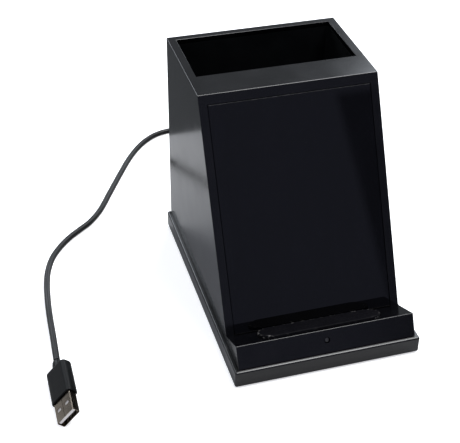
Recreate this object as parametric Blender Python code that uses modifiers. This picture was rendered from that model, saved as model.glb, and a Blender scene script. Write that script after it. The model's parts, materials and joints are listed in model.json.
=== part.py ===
"""Desktop wireless charging stand for a phone, with a pen cup behind the backrest.

The stand is a black moulded housing on a shallow plinth. Its leaning front carries a
glossy panel with the transmitter coil behind it, and a ledge that the phone stands on.
A lined pen cup opens in the top. A USB cord leaves the back, its spare length is tied
in a coil, and it ends in a plug.

Frame: +X to the stand's right as seen from the front, +Y to the back, +Z up.
The origin is under the middle of the plinth, on the surface that the feet rest on.
All sizes are in metres.
"""

import math

import bmesh
import bpy
import numpy as np
from mathutils import Matrix, Vector

MM = 0.001
FIT = 0.3 * MM                      # air between two pieces that touch
OVERCUT = 5.0 * MM                  # how far a cutter runs past the face it opens

# Plinth
PLINTH_WIDTH = 98.0 * MM
PLINTH_DEPTH = 141.5 * MM
PLINTH_TOP = 10.2 * MM              # height of its upper face over the table
PLINTH_FLOOR = 2.2 * MM
PLINTH_ROUNDING = 1.0 * MM
SEAT = 1.6 * MM                     # rim of the plinth that shows inside the housing wall
FOOT_STAND = 0.8 * MM               # plinth's underside over the table
FOOT_RADIUS = 5.0 * MM
FOOT_THICKNESS = 1.3 * MM
FOOT_ROUNDING = 0.3 * MM
FOOT_INSET = 8.0 * MM               # foot's centre from the plinth's sides

# Housing
HOUSING_HEIGHT = 122.5 * MM
LEAN = math.radians(26.0)           # backrest, from upright
SIDE_INSET = 2.2 * MM               # step from the plinth's edge to the housing
FRONT_INSET = 1.7 * MM
BACK_INSET = 0.5 * MM
SEAM = 0.4 * MM                     # shadow gap between plinth and housing
WALL = 2.2 * MM
TOP_WALL = 2.5 * MM
BACKREST_WALL = 4.5 * MM
LIP_WALL = 2.4 * MM
LIP_HEIGHT = 12.4 * MM              # the lip's front face, along its lean
LEDGE_DEPTH = 18.8 * MM             # from the lip's edge to the backrest
HOUSING_ROUNDING = 0.8 * MM

# Pen cup
SIDE_RIM = 4.4 * MM
FRONT_RIM = 18.6 * MM
CUP_WALL = 1.5 * MM
CUP_FLOOR = 1.6 * MM
CUP_UNDERSIDE = 24.0 * MM           # height over the table

# Backrest panel
PANEL_SIDE_MARGIN = 4.6 * MM
PANEL_TOP_MARGIN = 5.3 * MM
PANEL_THICKNESS = 1.5 * MM
PANEL_ROUNDING = 0.25 * MM
TAPE_THICKNESS = 0.4 * MM
TAPE_MARGIN = 1.0 * MM              # panel's edge to the tape's edge
TAPE_BAND = 8.0 * MM

# Ledge pad and indicator
PAD_LENGTH = 65.0 * MM
PAD_THICKNESS = 1.4 * MM
PAD_SINK = 0.2 * MM
PAD_ROUNDING = 0.35 * MM
PAD_FROM_BACKREST = 0.7 * MM
PAD_FROM_LIP = 2.6 * MM             # pad's edge to the lip's
LENS_RADIUS = 1.2 * MM
LENS_BELOW_EDGE = 5.5 * MM
LENS_FLANGE = 0.8 * MM
LENS_CHAMFER = 0.2 * MM
LED_SIZE = 2.0 * MM
LED_THICKNESS = 1.0 * MM
LED_BOARD_WIDTH = 14.0 * MM
LED_BOARD_HEIGHT = 5.2 * MM
SMALL_BOARD_THICKNESS = 1.0 * MM

# Transmitter coil and its holder
COIL_BELOW_PANEL_TOP = 45.0 * MM
COIL_OUTER_RADIUS = 25.0 * MM
COIL_INNER_RADIUS = 10.0 * MM
COIL_THICKNESS = 1.2 * MM
FERRITE_MARGIN = 1.5 * MM           # ferrite's edge past the coil
FERRITE_THICKNESS = 1.0 * MM
WINDOW_CLEARANCE = 1.5 * MM         # round the ferrite
HOLDER_SIDE_FLANGE = 8.0 * MM       # holder past the window
HOLDER_END_FLANGE = 5.0 * MM
HOLDER_THICKNESS = 2.0 * MM
STAKE_RADIUS = 1.3 * MM
STAKE_HEAD_RADIUS = 2.2 * MM
STAKE_HEAD_HEIGHT = 1.0 * MM
STAKE_INSET = 4.0 * MM              # stake's centre from the holder's edges
NOTCH_WIDTH = 10.0 * MM
NOTCH_HEIGHT = 8.0 * MM
LEAD_CLEARANCE = 6.0 * MM           # coil leads behind the holder and over the board
WIRE_SPACING = 4.0 * MM             # between the points of an inner wire's route

# Control board
BOARD_WIDTH = 54.0 * MM
BOARD_DEPTH = 40.0 * MM
BOARD_THICKNESS = 1.6 * MM
BOARD_FRONT = 42.0 * MM             # from the plinth's front to the board
BOARD_UNDERSIDE = 6.3 * MM
POST_RADIUS = 2.6 * MM
POST_INSET = 4.0 * MM
CHIP_SIZE = 7.0 * MM
CHIP_THICKNESS = 0.9 * MM
INDUCTOR_SIZE = 8.0 * MM
INDUCTOR_HEIGHT = 4.0 * MM
INDUCTOR_ROUNDING = 0.8 * MM
FILM_CAPACITOR = (5.0 * MM, 7.0 * MM, 3.0 * MM)
FILM_CAPACITOR_PITCH = 7.0 * MM
CAN_RADIUS = 3.2 * MM
CAN_HEIGHT = 7.0 * MM

# Screws
CASE_SCREW_RADIUS = 1.3 * MM
CASE_HEAD_RADIUS = 2.6 * MM
CASE_HEAD_HEIGHT = 1.6 * MM
CASE_SCREW_TOP = 18.0 * MM
CASE_BOSS_RADIUS = 3.6 * MM
CASE_BOSS_TOP = 20.5 * MM
CASE_HEAD_RECESS = 1.9 * MM
BOSS_INTO_WALL = 0.4 * MM
FRONT_BOSS_BEHIND_BACKREST = 11.0 * MM
REAR_BOSS_FROM_BACK = 26.0 * MM
BOARD_SCREW_RADIUS = 0.9 * MM
BOARD_HEAD_RADIUS = 2.1 * MM
BOARD_HEAD_HEIGHT = 1.3 * MM

# Cord
CORD_DIAMETER = 3.4 * MM
CORD_REST = CORD_DIAMETER / 2       # centre line of a cord that lies on the table
CORD_EXIT_HEIGHT = 17.0 * MM
TURN_SPACING = 3.5 * MM
TURN_RADIUS = 20.4 * MM             # middle of the coil's turns
COIL_LAYERS = 2
COIL_ROWS = 3
CORD_COIL_CENTRE = Vector((24.0, 150.0, 0.0)) * MM
COIL_ROUNDING = 1.2 * MM
TIE_THICKNESS = 0.6 * MM
TIE_WIDTH = 6.0 * MM
RELIEF_LENGTH = 16.0 * MM
RELIEF_ROOT_RADIUS = 3.9 * MM
RELIEF_TIP_RADIUS = 2.4 * MM
RELIEF_FLANGE_RADIUS = 5.2 * MM
RELIEF_FLANGE = 1.5 * MM
RELIEF_NECK_RADIUS = 3.3 * MM
RELIEF_RINGS = 4
RELIEF_RING_LENGTH = 1.6 * MM
RELIEF_GROOVE = 0.6 * MM
RELIEF_CHAMFER = 0.5 * MM
INPUT_LEAD_RADIUS = 1.2 * MM
COIL_LEAD_RADIUS = 0.6 * MM

# Plug, in its own frame: X across, Y from its open end to the cord, Z up through its wide face
PLUG_END = Vector((-131.55, -73.5, 6.2)) * MM
PLUG_ROLL = math.radians(-48.4)
PLUG_RISE = math.radians(2.7)
PLUG_TURN = math.radians(-0.9)
SHELL_WIDTH = 12.0 * MM
SHELL_HEIGHT = 4.5 * MM
SHELL_WALL = 0.35 * MM
SHELL_ROUNDING = 0.3 * MM
SHELL_SHOWS = 12.0 * MM
SHELL_INSIDE_GRIP = 6.0 * MM
SHELL_WINDOW = (2.3 * MM, 2.6 * MM)
SHELL_WINDOW_FROM_END = 5.2 * MM
SHELL_WINDOW_OFFSET = 2.9 * MM
GRIP_WIDTH = 14.2 * MM
GRIP_HEIGHT = 6.6 * MM
GRIP_LENGTH = 20.8 * MM
GRIP_ROUNDING = 1.6 * MM
GRIP_NECK_RADIUS = 2.5 * MM
GRIP_NECK_LENGTH = 4.5 * MM
TONGUE_WIDTH = 10.6 * MM
TONGUE_HEIGHT = 1.8 * MM
TONGUE_SETBACK = 0.4 * MM

# The cord's free stretches, chosen by hand along its centre line, in millimetres
CORD_OUT_ROUTE = (
    (0.0, 86.6, 17.0), (0.0, 92.0, 16.6), (0.0, 98.0, 14.6), (0.0, 105.0, 10.6), (0.0, 112.0, 6.2),
    (0.0, 119.0, 3.2), (0.0, 126.0, 2.1), (0.1, 131.0, 1.9), (0.1, 135.0, 2.0),
)
CORD_FAR_ROUTE = (
    (-2.4, 159.9, 5.2), (-4.8, 163.5, 4.0), (-8.5, 167.0, 2.8), (-13.5, 169.7, 2.15), (-19.0, 170.9, 1.8),
    (-25.0, 170.8, 1.72), (-31.4, 169.3, 1.7), (-38.0, 165.7, 1.7), (-46.2, 158.3, 1.7), (-55.5, 146.0, 1.7),
    (-65.6, 128.7, 1.7),
    (-75.7, 110.4, 1.7), (-85.2, 93.4, 1.7), (-93.1, 83.4, 1.7), (-100.0, 77.6, 1.7), (-106.7, 72.0, 1.7),
    (-113.6, 64.4, 1.7), (-119.6, 55.2, 1.7), (-123.9, 43.7, 1.7), (-126.2, 32.2, 1.7), (-127.7, 19.4, 2.0),
    (-128.5, 9.7, 2.8), (-129.1, 0.1, 4.1), (-129.6, -10.0, 5.7), (-130.1, -19.5, 7.0), (-130.6, -28.4, 7.8),
    (-130.98, -35.85, 8.02),
)

ROUND_STEPS = 24
SMALL_STEPS = 16

# Places worked out from the sizes above
PLINTH_FRONT = -PLINTH_DEPTH / 2
PLINTH_BACK = PLINTH_DEPTH / 2
HOUSING_HALF = PLINTH_WIDTH / 2 - SIDE_INSET
HOUSING_BOTTOM = PLINTH_TOP + SEAM
HOUSING_BACK = PLINTH_BACK - BACK_INSET
LIP_FOOT_Y = PLINTH_FRONT + FRONT_INSET + SEAM * math.tan(LEAN)
LIP_EDGE_Y = PLINTH_FRONT + FRONT_INSET + LIP_HEIGHT * math.sin(LEAN)
LIP_EDGE_Z = PLINTH_TOP + LIP_HEIGHT * math.cos(LEAN)
CORNER_Y = LIP_EDGE_Y + LEDGE_DEPTH * math.cos(LEAN)
CORNER_Z = LIP_EDGE_Z - LEDGE_DEPTH * math.sin(LEAN)
BACKREST_TOP_Y = CORNER_Y + (HOUSING_HEIGHT - CORNER_Z) * math.tan(LEAN)
BACKREST_LENGTH = (HOUSING_HEIGHT - CORNER_Z) / math.cos(LEAN)
BACK_RIM = WALL + FIT + CUP_WALL
CUP_HALF = HOUSING_HALF - SIDE_RIM
CUP_FRONT = BACKREST_TOP_Y + FRONT_RIM
CUP_BACK = HOUSING_BACK - BACK_RIM
PANEL_HALF = HOUSING_HALF - PANEL_SIDE_MARGIN
PANEL_TOP = -PANEL_TOP_MARGIN                    # along the backrest, from its top edge
PANEL_BOTTOM = -BACKREST_LENGTH + FIT
RECESS_DEPTH = PANEL_THICKNESS + FIT + TAPE_THICKNESS + FIT
COIL_CENTRE = PANEL_TOP - COIL_BELOW_PANEL_TOP
FERRITE_SIZE = 2 * (COIL_OUTER_RADIUS + FERRITE_MARGIN)
WINDOW_SIZE = FERRITE_SIZE + 2 * WINDOW_CLEARANCE
HOLDER_WIDTH = WINDOW_SIZE + 2 * HOLDER_SIDE_FLANGE
HOLDER_HEIGHT = WINDOW_SIZE + 2 * HOLDER_END_FLANGE
PAD_DEPTH = LEDGE_DEPTH - PAD_FROM_BACKREST - PAD_FROM_LIP
TRAY_HALF = HOUSING_HALF - WALL - SEAT
TRAY_FRONT = LIP_FOOT_Y + LIP_WALL / math.cos(LEAN) + SEAT / 2
TRAY_BACK = HOUSING_BACK - WALL - SEAT
TRAY_FLOOR_TOP = FOOT_STAND + PLINTH_FLOOR
BOARD_TOP = BOARD_UNDERSIDE + BOARD_THICKNESS
BOARD_Y0 = PLINTH_FRONT + BOARD_FRONT
BOARD_Y1 = BOARD_Y0 + BOARD_DEPTH
CASE_BOSS_X = HOUSING_HALF - WALL + BOSS_INTO_WALL - CASE_BOSS_RADIUS
CASE_BOSS_PLACES = tuple(
    (side * CASE_BOSS_X, y)
    for y in (CORNER_Y + FRONT_BOSS_BEHIND_BACKREST, HOUSING_BACK - REAR_BOSS_FROM_BACK)
    for side in (-1, 1)
)
BOARD_POSTS = tuple(
    (side * (BOARD_WIDTH / 2 - POST_INSET), y)
    for y in (BOARD_Y0 + POST_INSET, BOARD_Y1 - POST_INSET)
    for side in (-1, 1)
)


# ---------------------------------------------------------------- scene and materials

def clear_scene():
    for item in list(bpy.data.objects):
        bpy.data.objects.remove(item, do_unlink=True)


def new_collection(name):
    group = bpy.data.collections.new(name)
    bpy.context.scene.collection.children.link(group)
    return group


def new_material(name, colour, roughness, metallic=0.0):
    material = bpy.data.materials.new(name)
    material.use_nodes = True
    shader = material.node_tree.nodes["Principled BSDF"]
    shader.inputs["Base Color"].default_value = (*colour, 1.0)
    shader.inputs["Roughness"].default_value = roughness
    shader.inputs["Metallic"].default_value = metallic
    material.diffuse_color = (*colour, 1.0)
    return material


clear_scene()
PARTS = new_collection("phone_charging_stand")
CUTTERS = new_collection("cutters")

BLACK_ABS = new_material("black_abs", (0.012, 0.012, 0.013), 0.32)
PLINTH_ABS = new_material("plinth_abs", (0.014, 0.014, 0.015), 0.34)
PANEL_ACRYLIC = new_material("panel_acrylic", (0.006, 0.006, 0.007), 0.08)
CUP_PLASTIC = new_material("cup_plastic", (0.006, 0.006, 0.006), 0.6)
SILICONE = new_material("silicone", (0.02, 0.02, 0.022), 0.7)
RUBBER = new_material("rubber", (0.02, 0.02, 0.02), 0.85)
LENS_PLASTIC = new_material("lens_plastic", (0.25, 0.25, 0.27), 0.3)
TAPE_FOAM = new_material("tape_foam", (0.05, 0.05, 0.05), 0.9)
COPPER = new_material("copper", (0.75, 0.35, 0.18), 0.35, 1.0)
FERRITE = new_material("ferrite", (0.05, 0.05, 0.055), 0.55)
HOLDER_PLASTIC = new_material("holder_plastic", (0.7, 0.7, 0.66), 0.5)
BOARD_GREEN = new_material("board_green", (0.02, 0.16, 0.06), 0.45)
CHIP_BLACK = new_material("chip_black", (0.015, 0.015, 0.015), 0.5)
CAPACITOR_FILM = new_material("capacitor_film", (0.45, 0.08, 0.05), 0.4)
CAN_ALUMINIUM = new_material("can_aluminium", (0.75, 0.76, 0.78), 0.3, 1.0)
LED_RESIN = new_material("led_resin", (0.9, 0.9, 0.8), 0.3)
STEEL = new_material("steel", (0.55, 0.55, 0.56), 0.3, 1.0)
PVC = new_material("pvc", (0.03, 0.03, 0.032), 0.5)
WIRE_PVC = new_material("wire_pvc", (0.6, 0.05, 0.04), 0.5)
PLUG_STEEL = new_material("plug_steel", (0.72, 0.70, 0.66), 0.22, 1.0)
TONGUE_PLASTIC = new_material("tongue_plastic", (0.8, 0.8, 0.78), 0.45)


# ---------------------------------------------------------------- modelling helpers

def add_object(name, mesh, material=None, parent=None, location=(0.0, 0.0, 0.0)):
    item = bpy.data.objects.new(name, mesh)
    item.location = location
    item.parent = parent
    if material is None:
        CUTTERS.objects.link(item)
        item.hide_render = True
        item.display_type = "WIRE"
    else:
        mesh.materials.clear()
        mesh.materials.append(material)
        PARTS.objects.link(item)
    return item


def add_empty(name, location, rotation=(0.0, 0.0, 0.0)):
    item = bpy.data.objects.new(name, None)
    item.location = location
    item.rotation_euler = rotation
    PARTS.objects.link(item)
    return item


def mesh_from(name, bm):
    mesh = bpy.data.meshes.new(name)
    bm.to_mesh(mesh)
    bm.free()
    return mesh


def box(name, low, high, material=None, parent=None):
    """A box between two corners, in its parent's frame."""
    size = [b - a for a, b in zip(low, high)]
    centre = [(a + b) / 2 for a, b in zip(low, high)]
    bm = bmesh.new()
    bmesh.ops.create_cube(bm, size=1.0)
    bmesh.ops.scale(bm, vec=size, verts=bm.verts)
    return add_object(name, mesh_from(name, bm), material, parent, centre)


def cylinder(name, radius, low, high, material=None, parent=None, axis="Z", steps=SMALL_STEPS):
    """A cylinder from the point low to the point high, which differ along one axis only."""
    along = "XYZ".index(axis)
    length = high[along] - low[along]
    centre = [(a + b) / 2 for a, b in zip(low, high)]
    turn = {
        "X": Matrix.Rotation(math.pi / 2, 3, "Y"),
        "Y": Matrix.Rotation(-math.pi / 2, 3, "X"),
        "Z": Matrix.Identity(3),
    }[axis]
    bm = bmesh.new()
    bmesh.ops.create_cone(
        bm, cap_ends=True, segments=steps, radius1=radius, radius2=radius, depth=length
    )
    bmesh.ops.rotate(bm, matrix=turn, verts=bm.verts)
    item = add_object(name, mesh_from(name, bm), material, parent, centre)
    shade_round(item)
    return item


def curve_to_mesh(curve_object):
    """Make the curve a welded mesh in its parent's frame, and remove the curve."""
    CUTTERS.objects.link(curve_object)
    bpy.context.view_layer.update()
    evaluated = curve_object.evaluated_get(bpy.context.evaluated_depsgraph_get())
    mesh = bpy.data.meshes.new_from_object(evaluated)
    mesh.transform(curve_object.matrix_basis)
    bm = bmesh.new()
    bm.from_mesh(mesh)
    bmesh.ops.remove_doubles(bm, verts=bm.verts, dist=0.00001)
    bmesh.ops.recalc_face_normals(bm, faces=bm.faces)
    bm.to_mesh(mesh)
    bm.free()
    mesh.name = curve_object.name
    bpy.data.objects.remove(curve_object, do_unlink=True)
    return mesh


def side_prism(name, outline, half_width, material=None):
    """A (Y, Z) outline drawn as a flat curve and extruded to both sides along X."""
    curve = bpy.data.curves.new(name, "CURVE")
    curve.dimensions = "2D"
    curve.fill_mode = "BOTH"
    curve.extrude = half_width
    spline = curve.splines.new("POLY")
    spline.points.add(len(outline) - 1)
    for point, (y, z) in zip(spline.points, outline):
        point.co = (y, z, 0.0, 1.0)
    spline.use_cyclic_u = True
    drawing = bpy.data.objects.new(name, curve)
    drawing.rotation_euler = (math.pi / 2, 0.0, math.pi / 2)
    mesh = curve_to_mesh(drawing)
    return add_object(name, mesh, material)


def stadium(name, length, depth, low, high, parent, material=None):
    """A flat pad with round ends, long in X, between two heights in its parent's frame."""
    radius = depth / 2
    arm = length / 2 - radius
    curve = bpy.data.curves.new(name, "CURVE")
    curve.dimensions = "2D"
    curve.fill_mode = "BOTH"
    curve.extrude = (high[2] - low[2]) / 2
    half_turn = 10
    points = []
    for side in (1, -1):
        for step in range(half_turn + 1):
            angle = math.pi * (step / half_turn - 0.5)
            points.append((side * (arm + radius * math.cos(angle)), side * radius * math.sin(angle)))
    spline = curve.splines.new("POLY")
    spline.points.add(len(points) - 1)
    for point, (x, y) in zip(spline.points, points):
        point.co = (x, y, 0.0, 1.0)
    spline.use_cyclic_u = True
    drawing = bpy.data.objects.new(name, curve)
    mesh = curve_to_mesh(drawing)
    centre = [(a + b) / 2 for a, b in zip(low, high)]
    return add_object(name, mesh, material, parent, centre)


def turned(name, profile, material, parent=None, steps=SMALL_STEPS, location=(0.0, 0.0, 0.0)):
    """Turn a closed (radius, height) profile about Z. It runs down the outer side."""
    mesh = bpy.data.meshes.new(name)
    edges = [(i, i + 1) for i in range(len(profile) - 1)]
    if profile[0][0] > 0.0:
        edges.append((len(profile) - 1, 0))
    mesh.from_pydata([(radius, 0.0, height) for radius, height in profile], edges, [])
    item = add_object(name, mesh, material, parent, location)
    screw = item.modifiers.new("turn", "SCREW")
    screw.steps = steps
    screw.render_steps = steps
    screw.use_merge_vertices = True
    screw.merge_threshold = 0.00001
    return item


def tube(name, points, radius, material, resolution=2):
    """A round cord or wire along a list of world points, with flat ends."""
    curve = bpy.data.curves.new(name, "CURVE")
    curve.dimensions = "3D"
    curve.bevel_depth = radius
    curve.bevel_resolution = resolution
    curve.use_fill_caps = True
    spline = curve.splines.new("POLY")
    spline.points.add(len(points) - 1)
    for point, place in zip(spline.points, points):
        point.co = (*place, 1.0)
    drawing = bpy.data.objects.new(name, curve)
    return add_object(name, curve_to_mesh(drawing), material)


def smooth_route(route, spacing):
    """Points at an even spacing on a natural cubic spline through the route's own points."""
    knots = np.array(route, dtype=float)
    chords = np.sqrt((np.diff(knots, axis=0) ** 2).sum(axis=1))
    at = np.concatenate([[0.0], np.cumsum(chords)])
    count = len(at)
    system = np.zeros((count, count))
    right = np.zeros((count, 3))
    system[0, 0] = 1.0
    system[-1, -1] = 1.0
    for i in range(1, count - 1):
        before = at[i] - at[i - 1]
        after = at[i + 1] - at[i]
        system[i, i - 1] = before
        system[i, i] = 2.0 * (before + after)
        system[i, i + 1] = after
        right[i] = 6.0 * ((knots[i + 1] - knots[i]) / after - (knots[i] - knots[i - 1]) / before)
    bend = np.linalg.solve(system, right)
    stations = np.linspace(0.0, at[-1], max(2, round(at[-1] / spacing) + 1))
    points = []
    for station in stations:
        i = min(int(np.searchsorted(at, station, side="right")) - 1, count - 2)
        step = at[i + 1] - at[i]
        a = (at[i + 1] - station) / step
        b = (station - at[i]) / step
        curved = ((a ** 3 - a) * bend[i] + (b ** 3 - b) * bend[i + 1]) * step ** 2 / 6.0
        points.append(tuple(a * knots[i] + b * knots[i + 1] + curved))
    return points


def boolean(item, tool, operation):
    modifier = item.modifiers.new(operation.lower() + "_" + tool.name, "BOOLEAN")
    modifier.operation = operation
    modifier.object = tool
    modifier.solver = "EXACT"


def cut(item, *tools):
    for tool in tools:
        boolean(item, tool, "DIFFERENCE")


def join(item, *tools):
    for tool in tools:
        boolean(item, tool, "UNION")


def round_edges(item, width, segments=2):
    modifier = item.modifiers.new("rounding", "BEVEL")
    modifier.width = width
    modifier.segments = segments
    modifier.limit_method = "ANGLE"
    modifier.angle_limit = math.radians(20.0)


def shade_round(item):
    item.data.shade_smooth()
    item.data.set_sharp_from_angle(angle=math.radians(35.0))


def inset_outline(outline, insets):
    """Move each side of a clockwise outline inwards by its own wall thickness."""
    count = len(outline)
    lines = []
    for i in range(count):
        start = Vector(outline[i])
        end = Vector(outline[(i + 1) % count])
        along = (end - start).normalized()
        inward = Vector((along.y, -along.x))
        lines.append((start + inward * insets[i], along))
    corners = []
    for i in range(count):
        origin, along = lines[i - 1]
        other, heading = lines[i]
        cross = along.x * heading.y - along.y * heading.x
        gap = other - origin
        reach = (gap.x * heading.y - gap.y * heading.x) / cross
        corners.append(tuple(origin + along * reach))
    return corners


# ---------------------------------------------------------------- frames on the leaning faces

# X across, Y into the body, Z up along the lean; zero at the face's top edge
BACKREST = add_empty("backrest_frame", (0.0, BACKREST_TOP_Y, HOUSING_HEIGHT), (-LEAN, 0.0, 0.0))
LIP = add_empty("lip_frame", (0.0, LIP_EDGE_Y, LIP_EDGE_Z), (-LEAN, 0.0, 0.0))


def on_lean(frame, x, y, z):
    """World place of a point that is given in a leaning frame."""
    turn = Matrix.Rotation(-LEAN, 3, "X")
    return frame.location + turn @ Vector((x, y, z))


# ---------------------------------------------------------------- plinth, feet and case screws

def build_plinth():
    plinth = box(
        "plinth",
        (-PLINTH_WIDTH / 2, PLINTH_FRONT, FOOT_STAND),
        (PLINTH_WIDTH / 2, PLINTH_BACK, PLINTH_TOP),
        PLINTH_ABS,
    )
    round_edges(plinth, PLINTH_ROUNDING, 3)
    hollow = box(
        "plinth_hollow",
        (-TRAY_HALF, TRAY_FRONT, TRAY_FLOOR_TOP),
        (TRAY_HALF, TRAY_BACK, PLINTH_TOP + OVERCUT),
    )
    cut(plinth, hollow)
    sunk = TRAY_FLOOR_TOP - PLINTH_FLOOR / 2
    for i, (x, y) in enumerate(CASE_BOSS_PLACES, 1):
        join(plinth, cylinder(f"case_post_{i}", CASE_BOSS_RADIUS, (x, y, sunk), (x, y, PLINTH_TOP)))
    for i, (x, y) in enumerate(BOARD_POSTS, 1):
        top = BOARD_UNDERSIDE - FIT
        join(plinth, cylinder(f"board_post_{i}", POST_RADIUS, (x, y, sunk), (x, y, top)))
    for i, (x, y) in enumerate(CASE_BOSS_PLACES, 1):
        hole = CASE_SCREW_RADIUS + FIT
        head = CASE_HEAD_RADIUS + FIT
        cut(
            plinth,
            cylinder(f"case_hole_{i}", hole, (x, y, 0.0), (x, y, PLINTH_TOP + OVERCUT)),
            cylinder(f"head_recess_{i}", head, (x, y, -OVERCUT), (x, y, FOOT_STAND + CASE_HEAD_RECESS)),
        )
    for i, (x, y) in enumerate(BOARD_POSTS, 1):
        hole = BOARD_SCREW_RADIUS + FIT
        cut(
            plinth,
            cylinder(f"board_hole_{i}", hole, (x, y, TRAY_FLOOR_TOP), (x, y, BOARD_UNDERSIDE + OVERCUT)),
        )
    for i, (x, y) in enumerate(foot_places(), 1):
        seat_top = FOOT_THICKNESS + FIT
        seat_radius = FOOT_RADIUS + FIT
        seat = cylinder(f"foot_seat_{i}", seat_radius, (x, y, -OVERCUT), (x, y, seat_top), steps=ROUND_STEPS)
        cut(plinth, seat)
    return plinth


def foot_places():
    reach_x = PLINTH_WIDTH / 2 - FOOT_INSET
    reach_y = PLINTH_DEPTH / 2 - FOOT_INSET
    return [(sx * reach_x, sy * reach_y) for sy in (-1, 1) for sx in (-1, 1)]


def build_feet():
    for i, (x, y) in enumerate(foot_places(), 1):
        foot = cylinder(
            f"foot_{i}", FOOT_RADIUS, (x, y, 0.0), (x, y, FOOT_THICKNESS), RUBBER, steps=ROUND_STEPS
        )
        round_edges(foot, FOOT_ROUNDING, 1)


def build_case_screws():
    for i, (x, y) in enumerate(CASE_BOSS_PLACES, 1):
        seat = FOOT_STAND + CASE_HEAD_RECESS - FIT
        profile = (
            (0.0, CASE_SCREW_TOP),
            (CASE_SCREW_RADIUS * 0.5, CASE_SCREW_TOP),
            (CASE_SCREW_RADIUS, CASE_SCREW_TOP - CASE_SCREW_RADIUS),
            (CASE_SCREW_RADIUS, seat),
            (CASE_HEAD_RADIUS, seat),
            (CASE_HEAD_RADIUS, seat - CASE_HEAD_HEIGHT * 0.6),
            (CASE_HEAD_RADIUS * 0.8, seat - CASE_HEAD_HEIGHT),
            (0.0, seat - CASE_HEAD_HEIGHT),
        )
        turned(f"case_screw_{i}", profile, STEEL, location=(x, y, 0.0))


# ---------------------------------------------------------------- housing and pen cup

def housing_outline():
    """Side view, clockwise: lip, ledge, backrest, top, back and the open underside."""
    return (
        (LIP_FOOT_Y, HOUSING_BOTTOM),
        (LIP_EDGE_Y, LIP_EDGE_Z),
        (CORNER_Y, CORNER_Z),
        (BACKREST_TOP_Y, HOUSING_HEIGHT),
        (HOUSING_BACK, HOUSING_HEIGHT),
        (HOUSING_BACK, HOUSING_BOTTOM),
    )


def build_housing():
    outline = housing_outline()
    housing = side_prism("housing", outline, HOUSING_HALF, BLACK_ABS)
    round_edges(housing, HOUSING_ROUNDING, 3)
    walls = (LIP_WALL, LIP_WALL, BACKREST_WALL, TOP_WALL, WALL, -OVERCUT)
    cut(housing, side_prism("housing_hollow", inset_outline(outline, walls), HOUSING_HALF - WALL))

    cup_mouth = box(
        "cup_mouth",
        (-CUP_HALF, CUP_FRONT, HOUSING_HEIGHT - TOP_WALL - OVERCUT),
        (CUP_HALF, CUP_BACK, HOUSING_HEIGHT + OVERCUT),
    )
    panel_recess = box(
        "panel_recess",
        (-PANEL_HALF - FIT, -OVERCUT, -BACKREST_LENGTH),
        (PANEL_HALF + FIT, RECESS_DEPTH, PANEL_TOP + FIT),
        parent=BACKREST,
    )
    coil_window = box(
        "coil_window",
        (-WINDOW_SIZE / 2, 0.0, COIL_CENTRE - WINDOW_SIZE / 2),
        (WINDOW_SIZE / 2, BACKREST_WALL + OVERCUT, COIL_CENTRE + WINDOW_SIZE / 2),
        parent=BACKREST,
    )
    pad_middle = LEDGE_DEPTH - PAD_FROM_BACKREST - PAD_DEPTH / 2
    pad_seat = stadium(
        "pad_seat",
        PAD_LENGTH + 2 * FIT,
        PAD_DEPTH + 2 * FIT,
        (0.0, pad_middle, -PAD_SINK - FIT),
        (0.0, pad_middle, OVERCUT),
        LIP,
    )
    lens_hole = cylinder(
        "lens_hole",
        LENS_RADIUS + FIT,
        (0.0, -OVERCUT, -LENS_BELOW_EDGE),
        (0.0, LIP_WALL + OVERCUT / 2, -LENS_BELOW_EDGE),
        parent=LIP,
        axis="Y",
    )
    cord_hole = cylinder(
        "cord_hole",
        RELIEF_NECK_RADIUS + FIT,
        (0.0, HOUSING_BACK - WALL - OVERCUT / 2, CORD_EXIT_HEIGHT),
        (0.0, HOUSING_BACK + OVERCUT, CORD_EXIT_HEIGHT),
        axis="Y",
    )
    cut(housing, cup_mouth, panel_recess, coil_window, pad_seat, lens_hole, cord_hole)

    for i, (x, y) in enumerate(CASE_BOSS_PLACES, 1):
        low = (x, y, HOUSING_BOTTOM)
        high = (x, y, CASE_BOSS_TOP)
        join(housing, cylinder(f"case_boss_{i}", CASE_BOSS_RADIUS, low, high))
    for i, (x, y) in enumerate(CASE_BOSS_PLACES, 1):
        bottom = HOUSING_BOTTOM - OVERCUT
        top = CASE_SCREW_TOP + FIT
        cut(housing, cylinder(f"pilot_hole_{i}", CASE_SCREW_RADIUS + FIT, (x, y, bottom), (x, y, top)))
    for i, (x, z) in enumerate(stake_places(), 1):
        root = BACKREST_WALL - WALL / 4
        head = BACKREST_WALL + FIT + HOLDER_THICKNESS + FIT
        shank = cylinder(
            f"stake_{i}", STAKE_RADIUS, (x, root, z), (x, head + FIT, z), parent=BACKREST, axis="Y"
        )
        cap = cylinder(
            f"stake_head_{i}",
            STAKE_HEAD_RADIUS,
            (x, head, z),
            (x, head + STAKE_HEAD_HEIGHT, z),
            parent=BACKREST,
            axis="Y",
        )
        join(housing, shank, cap)
    return housing


def build_pen_cup():
    top = HOUSING_HEIGHT - TOP_WALL - FIT
    cup = box(
        "pen_cup",
        (-CUP_HALF - CUP_WALL, CUP_FRONT - CUP_WALL, CUP_UNDERSIDE),
        (CUP_HALF + CUP_WALL, CUP_BACK + CUP_WALL, top),
        CUP_PLASTIC,
    )
    hollow = box(
        "pen_cup_hollow",
        (-CUP_HALF, CUP_FRONT, CUP_UNDERSIDE + CUP_FLOOR),
        (CUP_HALF, CUP_BACK, top + OVERCUT),
    )
    cut(cup, hollow)


# ---------------------------------------------------------------- backrest panel, pad and indicator

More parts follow.
